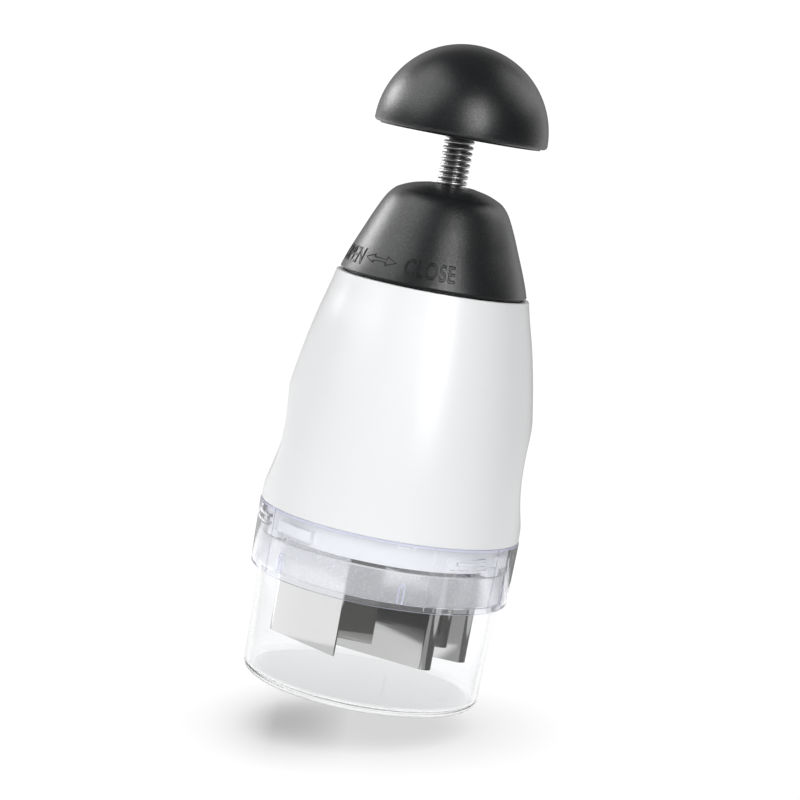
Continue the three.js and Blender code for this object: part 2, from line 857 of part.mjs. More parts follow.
// Plate that closes the knob, with a boss for the rod and a sunk seat for each cover screw
function makeKnobBase() {
  const plate = ringOf([
    [rodHoleRadius, 0],
    [knobInner - seatGap, 0],
    [knobInner - seatGap, knobBaseThickness],
    [knobBossRadius, knobBaseThickness],
    [knobBossRadius, knobBaseThickness + knobBossHeight],
    [rodHoleRadius, knobBaseThickness + knobBossHeight],
  ]);
  const cups = around(postScrewCount, (turn) =>
    standing(rod(knobCupRadius, 0, knobCupHeight), knobPostCircle, turn),
  );
  const sinks = around(postScrewCount, (turn) =>
    standing(
      rod(screwHeadRadius + runGap, -overrun, knobCupHeight - knobCupWall),
      knobPostCircle,
      turn,
    ),
  );
  const holes = around(postScrewCount, (turn) =>
    standing(rod(screwRadius + seatGap, 0, knobCupHeight + overrun), knobPostCircle, turn),
  );
  return cut(join(plate, ...cups), ...sinks, ...holes);
}

function makeGuideScrew() {
  const shank = tubeFlangeThickness + 2 * seatGap + screwBite;
  return makeScrew(screwRadius, screwHeadRadius, screwHeadHeight, shank);
}

function makeCoverScrew() {
  const shank = knobCupWall + 2 * seatGap + screwBite;
  return makeScrew(screwRadius, screwHeadRadius, screwHeadHeight, shank);
}

// Screw whose head is on top, so it is turned upside down
function makeRotorScrew() {
  const shank = rotorThickness - rotorScrewHeadHeight + seatGap + rotorScrewBite;
  const screw = makeScrew(rotorScrewRadius, rotorScrewHeadRadius, rotorScrewHeadHeight, shank);
  return screw.rotateX(Math.PI);
}

function makeKnobScrew() {
  const shank = knobScrewLevel - rodTopLevel + knobScrewBite;
  return makeScrew(knobScrewRadius, knobScrewHeadRadius, knobScrewHeadHeight, shank).rotateX(Math.PI);
}

// Assembly
function plastic(color, roughness) {
  return new THREE.MeshStandardMaterial({ color, roughness, metalness: 0, flatShading: true });
}

function steel(roughness) {
  return new THREE.MeshStandardMaterial({ color: 0xc8cacc, roughness, metalness: 1, flatShading: true });
}

function clear(color) {
  const options = { color, roughness: 0.05, metalness: 0, transparent: true, opacity: 0.35 };
  return new THREE.MeshStandardMaterial({ ...options, flatShading: true });
}

function piece(name, geometry, material, level) {
  const mesh = new THREE.Mesh(weld(geometry), material);
  mesh.name = name;
  mesh.position.z = level;
  return mesh;
}

// Identical screws round the axis, numbered from the front
function screws(name, count, circle, make, level) {
  return around(count, (turn) => {
    const mesh = piece(`${name}_${Math.round((turn * count) / 360) + 1}`, make(), steel(0.3), level);
    const spot = pointAt(circle, turn);
    mesh.position.set(spot.x, spot.y, level);
    return mesh;
  });
}

function unit(...children) {
  return new THREE.Group().add(...children);
}

const black = 0x2b2d2f;
const white = 0xeceded;
const ivory = 0xe6e4de;

const knobWasher = tube(rodHoleRadius, knobWasherRadius, 0, washerThickness);
const thrustDisc = rod(rodHeadRadius, 0, washerThickness, middleSides);

const blade = unit(
  piece('blade_holder', makeHolder(), plastic(white, 0.45), holderLevel),
  piece('chopping_blade', makeBlade(), steel(0.08), bladeLevel),
  piece('index_rotor', makeRotor(), plastic(ivory, 0.5), rotorLevel),
  ...screws('rotor_screw', rotorScrewCount, rotorScrewCircle, makeRotorScrew, rotorLevel + rotorThickness),
  piece('stripper_disc', makeStripper(), plastic(white, 0.45), stripperLevel),
);
const plunger = unit(
  piece('palm_knob', makeKnob(), plastic(black, 0.45), knobLevel),
  piece('knob_base', makeKnobBase(), plastic(black, 0.5), knobBaseLevel),
  ...screws('knob_cover_screw', postScrewCount, knobPostCircle, makeCoverScrew, coverScrewLevel),
  piece('knob_washer', knobWasher, steel(0.3), knobWasherLevel),
  piece('knob_screw', makeKnobScrew(), steel(0.3), knobScrewLevel + knobScrewHeadHeight),
  piece('plunger_rod', makeRod(), steel(0.12), rodLevel),
  piece('thrust_disc', thrustDisc, steel(0.3), thrustLevel),
  piece('return_spring', makeSpring(), steel(0.25), springLevel),
  blade,
);
const capUnit = unit(
  piece('top_cap', makeCap(), plastic(black, 0.5), capLevel),
  piece('rod_bush', makeBush(), plastic(ivory, 0.4), tubeFlangeLevel),
  piece('guide_tube', makeGuideTube(), plastic(white, 0.45), tubeLevel),
  ...screws('guide_tube_screw', postScrewCount, postCircle, makeGuideScrew, guideScrewLevel),
  piece('index_crown_upper', makeUpperCrown(), plastic(ivory, 0.5), upperToothLevel),
  piece('index_crown_lower', makeLowerCrown(), plastic(ivory, 0.5), lowerCrownLevel),
  plunger,
);
const housing = unit(piece('body_shell', makeBody(), plastic(white, 0.35), skirtLevel), capUnit);

const onionChopper = unit(
  piece('chopping_cup', makeCup(), clear(0xf2f4f5), 0),
  piece('collar_ring', makeCollar(), clear(0xd9dcee), collarLevel),
  housing,
);

export default onionChopper;
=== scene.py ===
# Push-down onion chopper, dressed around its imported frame.
# Metres, +Z up along the rod, front towards -Y. Angles round the axis count in degrees from the
# front and grow towards the right.
import math

import bpy
from mathutils import Matrix, Vector


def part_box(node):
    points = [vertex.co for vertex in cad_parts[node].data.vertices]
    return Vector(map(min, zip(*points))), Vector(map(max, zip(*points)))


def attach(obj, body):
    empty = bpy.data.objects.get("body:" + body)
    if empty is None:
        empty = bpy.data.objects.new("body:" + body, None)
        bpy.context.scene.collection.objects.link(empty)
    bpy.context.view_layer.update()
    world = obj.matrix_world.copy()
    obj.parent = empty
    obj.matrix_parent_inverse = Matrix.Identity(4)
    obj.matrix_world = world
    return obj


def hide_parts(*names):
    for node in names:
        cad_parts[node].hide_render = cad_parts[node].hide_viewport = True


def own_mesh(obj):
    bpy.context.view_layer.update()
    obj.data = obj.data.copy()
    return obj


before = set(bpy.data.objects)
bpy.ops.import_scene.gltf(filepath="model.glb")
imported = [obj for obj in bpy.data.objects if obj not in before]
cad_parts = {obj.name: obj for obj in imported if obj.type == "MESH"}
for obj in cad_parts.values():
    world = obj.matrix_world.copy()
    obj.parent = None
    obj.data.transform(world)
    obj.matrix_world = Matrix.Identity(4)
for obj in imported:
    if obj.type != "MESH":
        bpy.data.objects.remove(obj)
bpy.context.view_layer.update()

# Camera. It stands nearly a metre off, looks slightly down, and is rolled so that the chopper leans
# to the right, as it does in the photograph.
camera_place = Vector((-0.00397, -0.88, 0.214))
camera_dip = math.radians(7.37)
camera_roll = math.radians(10.4)
quarter_turn = math.pi / 2
full_turn = 2 * math.pi

bpy.ops.object.camera_add(location=camera_place)
camera = bpy.context.object
camera.name = "camera"
camera_turn = Matrix.Rotation(quarter_turn - camera_dip, 3, "X") @ Matrix.Rotation(camera_roll, 3, "Z")
camera.rotation_euler = camera_turn.to_euler()
camera.data.sensor_width = 36
camera.data.lens = 117
camera.data.clip_start = 0.05
camera.data.clip_end = 50
bpy.context.scene.camera = camera
bpy.context.scene.view_settings.view_transform = "Standard"

# Studio. The chopper leans over a sheet of white paper in a white room. Shiny surfaces see the room
# itself: dark, with a lit backdrop behind, a pale floor at both sides, and softboxes round them.
# The blade also mirrors the paper, which shows it painted shade and painted reflections there: a table's
# edge at the front left, streaks and a pale patch.
aim = Vector((0, 0, 0.13))
sheet_radius = 0.34
sheet_sides = 96
sheet_drop = 0.008
sheet_lean = math.radians(8.8)
sheet_aside = 0.45
foot_inset = 0.004
shadow_reach = 0.046
shadow_samples = 32
shadow_dark = 0.15
shadow_pale = 0.95
paper_light = 1.02
shadow_deepest = 0.26
shadow_deepest_x = 0.37 * sheet_radius
shadow_slope = 16
shadow_shallowest = 0.67
shadow_through = 1

# A step is told by where it starts and ends, and the tone before it and after it.
# These steps draw the painted reflections and painted shade that the blade sees in the paper.
painted_edge_way = (0.482, 0.876)
painted_edge = 0.2035
painted_edge_step = (painted_edge - 0.003, painted_edge + 0.003, 0.69, 0.19)
painted_edge_fade = (painted_edge + 0.003, painted_edge + 0.03, 0, -0.14)
right_step = (0.03, 0.05, 0, 1)
streak_step = (0.224, 0.23, 0.33, 0.1)
pale_step = (0.275, 0.285, 0, 0.4)
patch_step = (-0.176, -0.168, 0, 0.55)
patch_end = (0.14, 0.15, 1, 0)
panel_step = (-0.15, -0.14, 1, 0)
panel_shade_tone = 0.15
past_cup = (0.046, 0.058, 0, 1)

# The room's tones, and its steps along the way that a ray leaves by.
room_light = 0.42
room_dark = 0.05
room_clear = 1.0
room_white = 1.05
backdrop_near = (0.1, 0.7, 0, 1.1)
backdrop_far = (0.8, 0.99, 1, 0.15)
backdrop_top = (0.35, 0.7, 1, 0.1)
floor_slant = 0.5
floor_left = (-0.6, -0.85, 0, 0.95)
floor_right = (0.6, 0.9, 0, 0.5)
floor_down = (0.02, -0.1, 0, 1)


def math_node(tree, operation, first, second):
    node = tree.nodes.new("ShaderNodeMath")
    node.operation = operation
    for socket, value in zip(node.inputs, (first, second)):
        if isinstance(value, (int, float)):
            socket.default_value = value
        else:
            tree.links.new(value, socket)
    return node.outputs["Value"]


def ramp_node(tree, value, low, high, to_low=0.0, to_high=1.0):
    # An even, clamped change from one value to another.
    node = tree.nodes.new("ShaderNodeMapRange")
    for name, number in (("From Min", low), ("From Max", high), ("To Min", to_low), ("To Max", to_high)):
        node.inputs[name].default_value = number
    tree.links.new(value, node.inputs["Value"])
    return node.outputs["Result"]


def step_node(tree, value, low, high, to_low, to_high):
    # A soft step from one value to another.
    step = ramp_node(tree, value, low, high, to_low, to_high)
    step.node.interpolation_type = "SMOOTHSTEP"
    return step


def met_node(tree, path, kind, count):
    # 1 for a ray that has met more surfaces of the kind than the count.
    return math_node(tree, "GREATER_THAN", path.outputs[kind + " Depth"], count + 0.5)


def choice_node(tree, chance, no, yes):
    node = tree.nodes.new("ShaderNodeMix")
    tree.links.new(chance, node.inputs["Factor"])
    for name, value in (("A", no), ("B", yes)):
        if isinstance(value, (int, float)):
            node.inputs[name].default_value = value
        else:
            tree.links.new(value, node.inputs[name])
    return node.outputs["Result"]


foot_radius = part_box("chopping_cup")[1].x - foot_inset
sheet_centre = -foot_radius - sheet_radius * sheet_aside
lean = Matrix.Rotation(-sheet_lean, 3, "Y")
bpy.ops.mesh.primitive_circle_add(vertices=sheet_sides, radius=sheet_radius, fill_type="NGON")
sheet = bpy.context.object
sheet.name = "paper_sheet"
sheet.rotation_euler = lean.to_euler()
sheet.location = Vector((foot_radius, 0, -sheet_drop)) + lean @ Vector((sheet_centre, 0, 0))
paper = bpy.data.materials.new("white_paper")
paper.use_nodes = True
sheet.data.materials.append(paper)
paper = paper.node_tree
paper.nodes.remove(paper.nodes["Principled BSDF"])
paper_glow = paper.nodes.new("ShaderNodeEmission")
paper.links.new(paper_glow.outputs["Emission"], paper.nodes["Material Output"].inputs["Surface"])
paper_path = paper.nodes.new("ShaderNodeLightPath")
paper_shadow = paper.nodes.new("ShaderNodeAmbientOcclusion")
paper_shadow.inputs["Distance"].default_value = shadow_reach
paper_shadow.samples = shadow_samples
paper_place = paper.nodes.new("ShaderNodeTexCoord")
paper_parts = paper.nodes.new("ShaderNodeSeparateXYZ")
paper.links.new(paper_place.outputs["Object"], paper_parts.inputs["Vector"])
paper_x = paper_parts.outputs["X"]
paper_y = paper_parts.outputs["Y"]

# The shadow under the cup, deepest along one line. Light that came through the cup's floor lifts it.
sideways = math_node(paper, "SUBTRACT", paper_x, shadow_deepest_x)
sideways = math_node(paper, "MULTIPLY", math_node(paper, "ABSOLUTE", sideways, 0), shadow_slope)
deepest = math_node(paper, "ADD", sideways, shadow_deepest)
deepest = math_node(paper, "MINIMUM", deepest, shadow_shallowest)
deepest = choice_node(paper, met_node(paper, paper_path, "Transmission", 0), deepest, shadow_through)
open_paper = ramp_node(paper, paper_shadow.outputs["AO"], shadow_dark, shadow_pale)
lit = choice_node(paper, open_paper, deepest, paper_light)

# Painted reflections on the paper, seen by rays mirrored inside the cup that meet the paper away from it:
# a table's edge at the front left, streaks and a pale patch at the right.
across = math_node(paper, "MULTIPLY", paper_x, painted_edge_way[0])
away = math_node(paper, "SUBTRACT", across, math_node(paper, "MULTIPLY", paper_y, painted_edge_way[1]))
painted_front_left = step_node(paper, away, *painted_edge_step)
painted_front_left = math_node(paper, "ADD", painted_front_left, step_node(paper, away, *painted_edge_fade))
streaks = step_node(paper, paper_x, *streak_step)
streaks = math_node(paper, "ADD", streaks, step_node(paper, paper_x, *pale_step))
patch = step_node(paper, paper_y, *patch_step)
patch = math_node(paper, "MULTIPLY", patch, step_node(paper, paper_x, *patch_end))
right = math_node(paper, "ADD", streaks, patch)
# Rays mirrored more than twice, between the blade's panels, see a darker tone towards the front: painted
# shade between the panels.
panels = met_node(paper, paper_path, "Glossy", 2)
panels = math_node(paper, "MULTIPLY", panels, step_node(paper, paper_y, *panel_step))
right = choice_node(paper, panels, right, panel_shade_tone)
shaded = choice_node(paper, step_node(paper, paper_x, *right_step), painted_front_left, right)
from_cup = math_node(paper, "SUBTRACT", paper_x, -sheet_centre - foot_radius)
from_cup = math_node(paper, "MULTIPLY", from_cup, from_cup)
from_cup = math_node(paper, "ADD", from_cup, math_node(paper, "MULTIPLY", paper_y, paper_y))
by_cup = step_node(paper, math_node(paper, "SQRT", from_cup, 0), *past_cup)
mirrored = met_node(paper, paper_path, "Glossy", 0)
mirrored = math_node(paper, "MULTIPLY", mirrored, met_node(paper, paper_path, "Transmission", 2))
shade = choice_node(paper, math_node(paper, "MULTIPLY", mirrored, by_cup), 1, shaded)
paper.links.new(math_node(paper, "MULTIPLY", lit, shade), paper_glow.inputs["Strength"])

world = bpy.data.worlds.new("studio_room")
bpy.context.scene.world = world
world.use_nodes = True
room = world.node_tree
room_way = room.nodes.new("ShaderNodeTexCoord")
room_parts = room.nodes.new("ShaderNodeSeparateXYZ")
room.links.new(room_way.outputs["Generated"], room_parts.inputs["Vector"])
way_x, way_y, way_z = room_parts.outputs
behind = step_node(room, way_y, *backdrop_near)
behind = math_node(room, "MULTIPLY", behind, step_node(room, way_y, *backdrop_far))
behind = math_node(room, "MULTIPLY", behind, step_node(room, way_z, *backdrop_top))
leftward = math_node(room, "SUBTRACT", way_x, math_node(room, "MULTIPLY", way_y, floor_slant))
pale_floor = step_node(room, leftward, *floor_left)
pale_floor = math_node(room, "ADD", pale_floor, step_node(room, way_x, *floor_right))
pale_floor = math_node(room, "MULTIPLY", pale_floor, step_node(room, way_z, *floor_down))
mirrored = math_node(room, "ADD", math_node(room, "ADD", behind, pale_floor), room_dark)
room_path = room.nodes.new("ShaderNodeLightPath")
seen, through = (room_path.outputs[title] for title in ("Is Camera Ray", "Is Transmission Ray"))
seen = math_node(room, "MAXIMUM", seen, through)
entered = met_node(room, room_path, "Transmission", 0)
shallow = math_node(room, "SUBTRACT", entered, met_node(room, room_path, "Transmission", 2))
mirrored = choice_node(room, shallow, mirrored, room_clear)
strength = choice_node(room, seen, room_light, room_white)
strength = choice_node(room, met_node(room, room_path, "Glossy", 0), strength, mirrored)
strength = choice_node(room, met_node(room, room_path, "Diffuse", 0), strength, room_light)
room.links.new(strength, room.nodes["Background"].inputs["Strength"])
room.nodes["Background"].inputs["Color"].default_value = (1, 1, 1, 1)


def softbox(name, turn, rise, distance, width, tall, radiance):
    # A soft lamp aimed at the chopper, seen by mirrors but not straight through the clear plastic.
    angle = math.radians(turn - 90)
    lift = math.radians(rise)
    way = Vector((math.cos(lift) * math.cos(angle), math.cos(lift) * math.sin(angle), math.sin(lift)))
    place = aim + way * distance
    bpy.ops.object.light_add(type="AREA", location=place)
    lamp = bpy.context.object
    lamp.name = name
    lamp.rotation_euler = (aim - place).to_track_quat("-Z", "Y").to_euler()
    lamp.data.shape = "RECTANGLE"
    lamp.data.size = width
    lamp.data.size_y = tall
    lamp.data.energy = radiance * math.pi * width * tall
    lamp.visible_transmission = False
    return lamp


for lamp in (
    softbox("softbox_left", -78, 40, 1.0, 1.0, 0.9, 3),
    softbox("softbox_left_back", -121, 20, 1.0, 0.4, 0.28, 10.5),
    softbox("softbox_front", 19, 26, 1.2, 0.36, 0.72, 12),
    softbox("softbox_right", 115, 45, 1.0, 0.6, 0.6, 1.8),
):
    lamp.visible_diffuse = False
softbox("softbox_fill", -8, 30, 1.1, 0.8, 0.7, 4.8).visible_glossy = False

# Chopping cup. A clear moulded beaker that the chopper stands on, with a slightly wider frosted band
# round its rim, under which the collar's lip hooks.
cup_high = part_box("chopping_cup")[1]
cup_height = cup_high.z
cup_rim_radius = cup_high.x
cup_rim_step = 0.001
cup_taper = 0.0011
cup_wall = 0.0015
cup_floor = 0.002
cup_foot_rounding = 0.0032
cup_floor_fillet = 0.002
cup_band = 0.0099
cup_rounding = 0.0003
cup_sides = 180
cup_colour = (0.975, 0.98, 0.985)
scratched_cup_colour = (0.9, 0.905, 0.91)
worn_foot_colour = (0.85, 0.855, 0.86)
frosted_colour = (0.9, 0.905, 0.915)
same_point = 1e-6


def let_go():
    bpy.ops.object.select_all(action="DESELECT")


def pick(piece):
    let_go()
    piece.select_set(True)
    bpy.context.view_layer.objects.active = piece


def arc(x, z, radius, start, end, steps):
    turns = [math.radians(start + (end - start) * i / steps) for i in range(steps + 1)]
    return [(x + radius * math.cos(turn), z + radius * math.sin(turn)) for turn in turns]


def drawn_line(name, corners):
    # A line drawn point by point from its first corner. It is left in edit mode, all of it selected.
    let_go()
    bpy.ops.mesh.primitive_plane_add(size=cup_wall)
    piece = bpy.context.object
    piece.name = piece.data.name = name
    bpy.ops.object.mode_set(mode="EDIT")
    bpy.ops.mesh.select_all(action="SELECT")
    bpy.ops.mesh.merge(type="CENTER")
    bpy.ops.transform.translate(value=corners[0])
    for here, there in zip(corners, corners[1:]):
        step = [after - before for before, after in zip(here, there)]
        bpy.ops.mesh.extrude_vertices_move(TRANSFORM_OT_translate={"value": step})
    bpy.ops.mesh.select_all(action="SELECT")
    return piece


def closed_up(piece):
    # Doubled points are merged and all faces are turned outwards.
    bpy.ops.mesh.select_all(action="SELECT")
    bpy.ops.mesh.remove_doubles(threshold=same_point)
    bpy.ops.mesh.normals_make_consistent(inside=False)
    bpy.ops.object.mode_set(mode="OBJECT")
    return piece


def turned(name, outline, sides):
    # The outline, told by radius and height, is spun round the chopper's axis.
    piece = drawn_line(name, [(radius, 0, height) for radius, height in outline])
    bpy.ops.mesh.spin(steps=sides, angle=full_turn, center=(0, 0, 0), axis=(0, 0, 1))
    return closed_up(piece)


def rounded(piece, width, sharp=28):
    # Edges sharper than the angle are rounded off.
    pick(piece)
    bevel = piece.modifiers.new("rounded_edges", "BEVEL")
    bevel.width = width
    bevel.segments = 2
    bevel.limit_method = "ANGLE"
    bevel.angle_limit = math.radians(sharp)
    bpy.ops.object.modifier_apply(modifier=bevel.name)


def smoothed(piece, sharp=32):
    # Faces are shaded as one surface, except across edges sharper than the angle.
    pick(piece)
    bpy.ops.object.shade_smooth_by_angle(angle=math.radians(sharp))


def new_finish(name, colour, roughness, metallic=0.0, **numbers):
    # A finish and its shader. Other numbers are named as the shader's sockets, with _ for a space.
    material = bpy.data.materials.new(name)
    material.use_nodes = True
    shader = material.node_tree.nodes["Principled BSDF"]
    shader.inputs["Base Color"].default_value = (*colour, 1)
    shader.inputs["Roughness"].default_value = roughness
    shader.inputs["Metallic"].default_value = metallic
    for title, number in numbers.items():
        shader.inputs[title.replace("_", " ")].default_value = number
    return material, shader


def new_group(name, takes, gives):
    # An effect shared by several finishes. It takes a place on the piece and a few numbers.
    group = bpy.data.node_groups.new(name, "ShaderNodeTree")
    group.interface.new_socket("Place", in_out="INPUT", socket_type="NodeSocketVector")
    for title in takes:
        group.interface.new_socket(title, in_out="INPUT", socket_type="NodeSocketFloat")
    for title, kind in gives:
        group.interface.new_socket(title, in_out="OUTPUT", socket_type=kind)
    return group, group.nodes.new("NodeGroupInput"), group.nodes.new("NodeGroupOutput")


def noise_node(tree, place, scale, detail, roughness=0.5):
    node = tree.nodes.new("ShaderNodeTexNoise")
    tree.links.new(place, node.inputs["Vector"])
    if isinstance(scale, (int, float)):
        node.inputs["Scale"].default_value = scale
    else:
        tree.links.new(scale, node.inputs["Scale"])
    node.inputs["Detail"].default_value = detail
    node.inputs["Roughness"].default_value = roughness
    return node.outputs["Fac"]


def stretched(tree, place, scale):
    # The scale counts a pattern's features per metre along X, Y and Z.
    node = tree.nodes.new("ShaderNodeMapping")
    node.inputs["Scale"].default_value = scale
    tree.links.new(place, node.inputs["Vector"])
    return node.outputs["Vector"]


def bump_node(tree, height, depth):
    node = tree.nodes.new("ShaderNodeBump")
    tree.links.new(height, node.inputs["Height"])
    tree.links.new(depth, node.inputs["Distance"])
    return node.outputs["Normal"]


# Handling marks: soft smudges left by hands and washing, and fine scratches in two directions.
smudge_range = (0.38, 0.66)
scratched_range = (0.45, 0.6)
rising_scratches = (900, 900, 40)
rising_range = (0.7, 0.78)
level_scratches = (50, 50, 1100)
level_range = (0.71, 0.79)
handling, takes, gives = new_group(
    "handling_marks",
    ["Smudge Size"],
    [("Smudge", "NodeSocketFloat"), ("Scratch", "NodeSocketFloat")],
)
patches = noise_node(handling, takes.outputs["Place"], takes.outputs["Smudge Size"], 4, 0.6)
handling.links.new(ramp_node(handling, patches, *smudge_range), gives.inputs["Smudge"])
rising = noise_node(handling, stretched(handling, takes.outputs["Place"], rising_scratches), 1, 1)
level = noise_node(handling, stretched(handling, takes.outputs["Place"], level_scratches), 1, 1)
rising = ramp_node(handling, rising, *rising_range)
level = ramp_node(handling, level, *level_range)
lines = math_node(handling, "MAXIMUM", rising, level)
lines = math_node(handling, "MULTIPLY", lines, ramp_node(handling, patches, *scratched_range))
handling.links.new(lines, gives.inputs["Scratch"])

# Moulded grain: the fine even texture of the mould's wall, and the specks that its tips make.
speck_range = (0.5, 0.72)
grain, takes, gives = new_group(
    "moulded_grain",
    ["Grain Size", "Grain Depth"],
    [("Normal", "NodeSocketVector"), ("Speck", "NodeSocketFloat")],
)
tips = noise_node(grain, takes.outputs["Place"], takes.outputs["Grain Size"], 3, 0.65)
grain.links.new(bump_node(grain, tips, takes.outputs["Grain Depth"]), gives.inputs["Normal"])
grain.links.new(ramp_node(grain, tips, *speck_range), gives.inputs["Speck"])

# Drawn lines: the fine parallel lines of wire, rod and rolled strip, level or upright.
upright_lines = (2600, 2600, 30)
level_lines = (35, 35, 3200)
streak_range = (0.35, 0.65)
drawn, takes, gives = new_group(
    "drawn_lines",
    ["Upright", "Line Depth"],
    [("Normal", "NodeSocketVector"), ("Streak", "NodeSocketFloat")],
)
upright = noise_node(drawn, stretched(drawn, takes.outputs["Place"], upright_lines), 1, 2)
level = noise_node(drawn, stretched(drawn, takes.outputs["Place"], level_lines), 1, 2)
lines = drawn.nodes.new("ShaderNodeMix")
drawn.links.new(takes.outputs["Upright"], lines.inputs["Factor"])
drawn.links.new(level, lines.inputs["A"])
drawn.links.new(upright, lines.inputs["B"])
lines = lines.outputs["Result"]
drawn.links.new(bump_node(drawn, lines, takes.outputs["Line Depth"]), gives.inputs["Normal"])
drawn.links.new(ramp_node(drawn, lines, *streak_range), gives.inputs["Streak"])

# Worn edges: a mask of the piece's edges, broken up where they have been rubbed.
edge_range = (0.97, 0.85)
edge_samples = 4
rub_scale = 700
rub_range = (0.3, 0.6)
edges, takes, gives = new_group("worn_edges", ["Edge Width"], [("Edge", "NodeSocketFloat")])
softened = edges.nodes.new("ShaderNodeBevel")
softened.samples = edge_samples
edges.links.new(takes.outputs["Edge Width"], softened.inputs["Radius"])
facing = edges.nodes.new("ShaderNodeNewGeometry")
likeness = edges.nodes.new("ShaderNodeVectorMath")
likeness.operation = "DOT_PRODUCT"
edges.links.new(softened.outputs["Normal"], likeness.inputs[0])
edges.links.new(facing.outputs["Normal"], likeness.inputs[1])
rubbed = ramp_node(edges, noise_node(edges, takes.outputs["Place"], rub_scale, 3), *rub_range)
edge = ramp_node(edges, likeness.outputs["Value"], *edge_range)
edges.links.new(math_node(edges, "MULTIPLY", edge, rubbed), gives.inputs["Edge"])


def effect(material, group, **numbers):
    # The effect is added to a finish, reading the piece's own coordinates.
    tree = material.node_tree
    where = tree.nodes.new("ShaderNodeTexCoord")
    node = tree.nodes.new("ShaderNodeGroup")
    node.node_tree = group
    tree.links.new(where.outputs["Object"], node.inputs["Place"])
    for title, number in numbers.items():
        node.inputs[title.replace("_", " ")].default_value = number
    return node.outputs


def between(material, shader, mask, socket, low, high):
    # A socket of the shader follows the mask from one value, or colour, to another.
    tree = material.node_tree
    if socket.endswith("Color"):
        mix = tree.nodes.new("ShaderNodeMix")
        mix.data_type = "RGBA"
        tree.links.new(mask, mix.inputs["Factor"])
        mix.inputs[6].default_value = (*low, 1)
        mix.inputs[7].default_value = (*high, 1)
        tree.links.new(mix.outputs[2], shader.inputs[socket])
    else:
        tree.links.new(ramp_node(tree, mask, 0, 1, low, high), shader.inputs[socket])


def relief(material, shader, marks):
    # The effect's fine relief is the shader's.
    material.node_tree.links.new(marks["Normal"], shader.inputs["Normal"])


def dress(piece, *materials):
    piece.data.materials.clear()
    for material in materials:
        piece.data.materials.append(material)


cup_radius = cup_rim_radius - cup_rim_step
cup_foot_radius = cup_radius - cup_taper
cup_band_low = cup_height - cup_band
cup_inner_foot = cup_foot_radius - cup_wall
cup_outline = [
    (0, 0),
    *arc(cup_foot_radius - cup_foot_rounding, cup_foot_rounding, cup_foot_rounding, -90, 0, 8),
    (cup_radius, cup_band_low),
    (cup_rim_radius, cup_band_low),
    (cup_rim_radius, cup_height),
    (cup_radius - cup_wall, cup_height),
    *arc(cup_inner_foot - cup_floor_fillet, cup_floor + cup_floor_fillet, cup_floor_fillet, 0, -90, 6),
    (0, cup_floor),
]
cup = turned("clear_cup", cup_outline, cup_sides)
rounded(cup, cup_rounding)
smoothed(cup)

cup_clear, shader = new_finish("clear_cup_plastic", cup_colour, 0.015, IOR=1.18, Transmission_Weight=1)
marks = effect(cup_clear, handling, Smudge_Size=45)
between(cup_clear, shader, marks["Smudge"], "Roughness", 0.008, 0.04)
between(cup_clear, shader, marks["Scratch"], "Base Color", cup_colour, scratched_cup_colour)
cup_frosted, shader = new_finish(
    "frosted_cup_plastic",
    frosted_colour,
    0.24,
    IOR=1.25,
    Transmission_Weight=0.66,
    Specular_IOR_Level=0.2,
)
tips = effect(cup_frosted, grain, Grain_Size=3000, Grain_Depth=0.00005)
relief(cup_frosted, shader, tips)
between(cup_frosted, shader, tips["Speck"], "Roughness", 0.2, 0.34)


def let_light_through(material):
    # Shadows of clear plastic stay pale: a shadow ray meets a sheer film in place of the glass.
    tree = material.node_tree
    path = tree.nodes.new("ShaderNodeLightPath")
    film = tree.nodes.new("ShaderNodeBsdfTransparent")
    mix = tree.nodes.new("ShaderNodeMixShader")
    tree.links.new(path.outputs["Is Shadow Ray"], mix.inputs["Fac"])
    tree.links.new(tree.nodes["Principled BSDF"].outputs["BSDF"], mix.inputs[1])
    tree.links.new(film.outputs["BSDF"], mix.inputs[2])
    tree.links.new(mix.outputs["Shader"], tree.nodes["Material Output"].inputs["Surface"])


cup_foot, shader = new_finish(
    "worn_cup_foot_plastic", cup_colour, 0.2, IOR=1.15, Transmission_Weight=0.9
)
marks = effect(cup_foot, handling, Smudge_Size=80)
between(cup_foot, shader, marks["Smudge"], "Roughness", 0.14, 0.24)
between(cup_foot, shader, marks["Scratch"], "Base Color", cup_colour, worn_foot_colour)
for material in (cup_clear, cup_frosted, cup_foot):
    let_light_through(material)
dress(cup, cup_clear, cup_frosted, cup_foot)
for face in cup.data.polygons:
    outward = math.hypot(*face.center.xy)
    if face.center.z > cup_band_low - cup_rim_step:
        face.material_index = 1
    elif face.center.z < cup_foot_rounding and outward > cup_foot_radius - cup_foot_rounding:
        face.material_index = 2
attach(cup, "base")
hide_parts("chopping_cup")

# Collar ring. A clear, faintly lavender moulding that hooks under the cup's band and turns on the
# housing's skirt. Bayonet ribs, looped ribs and mould lines stand on its wall.
collar_low, collar_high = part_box("collar_ring")
collar_radius = collar_high.x
collar_wall = 0.0014
collar_taper = 0.0004
collar_foot_rounding = 0.0008
collar_rim_depth = 0.0006
collar_lip = 0.002
collar_lip_gap = 0.0004
bayonet_angle = 42.2
bayonet_span = 20.4
bayonet_drop = 0.0036
bayonet_height = 0.0036
bayonet_depth = 0.0016
bayonet_edge = 0.0011
boss_radius = 0.0021
boss_proud = 0.0002
loop_angle = 10.3
loop_count = 6
loop_width = 0.0017
loop_height = 0.0068
loop_rib = 0.00034
mould_line_angles = [21.2, -58.2, 57]
mould_line_width = 0.00025
collar_sides = 200
face_margin = 1.1
collar_colour = (0.94, 0.946, 0.978)
scratched_collar_colour = (0.86, 0.87, 0.93)
collar_edge_colour = (0.78, 0.79, 0.96)


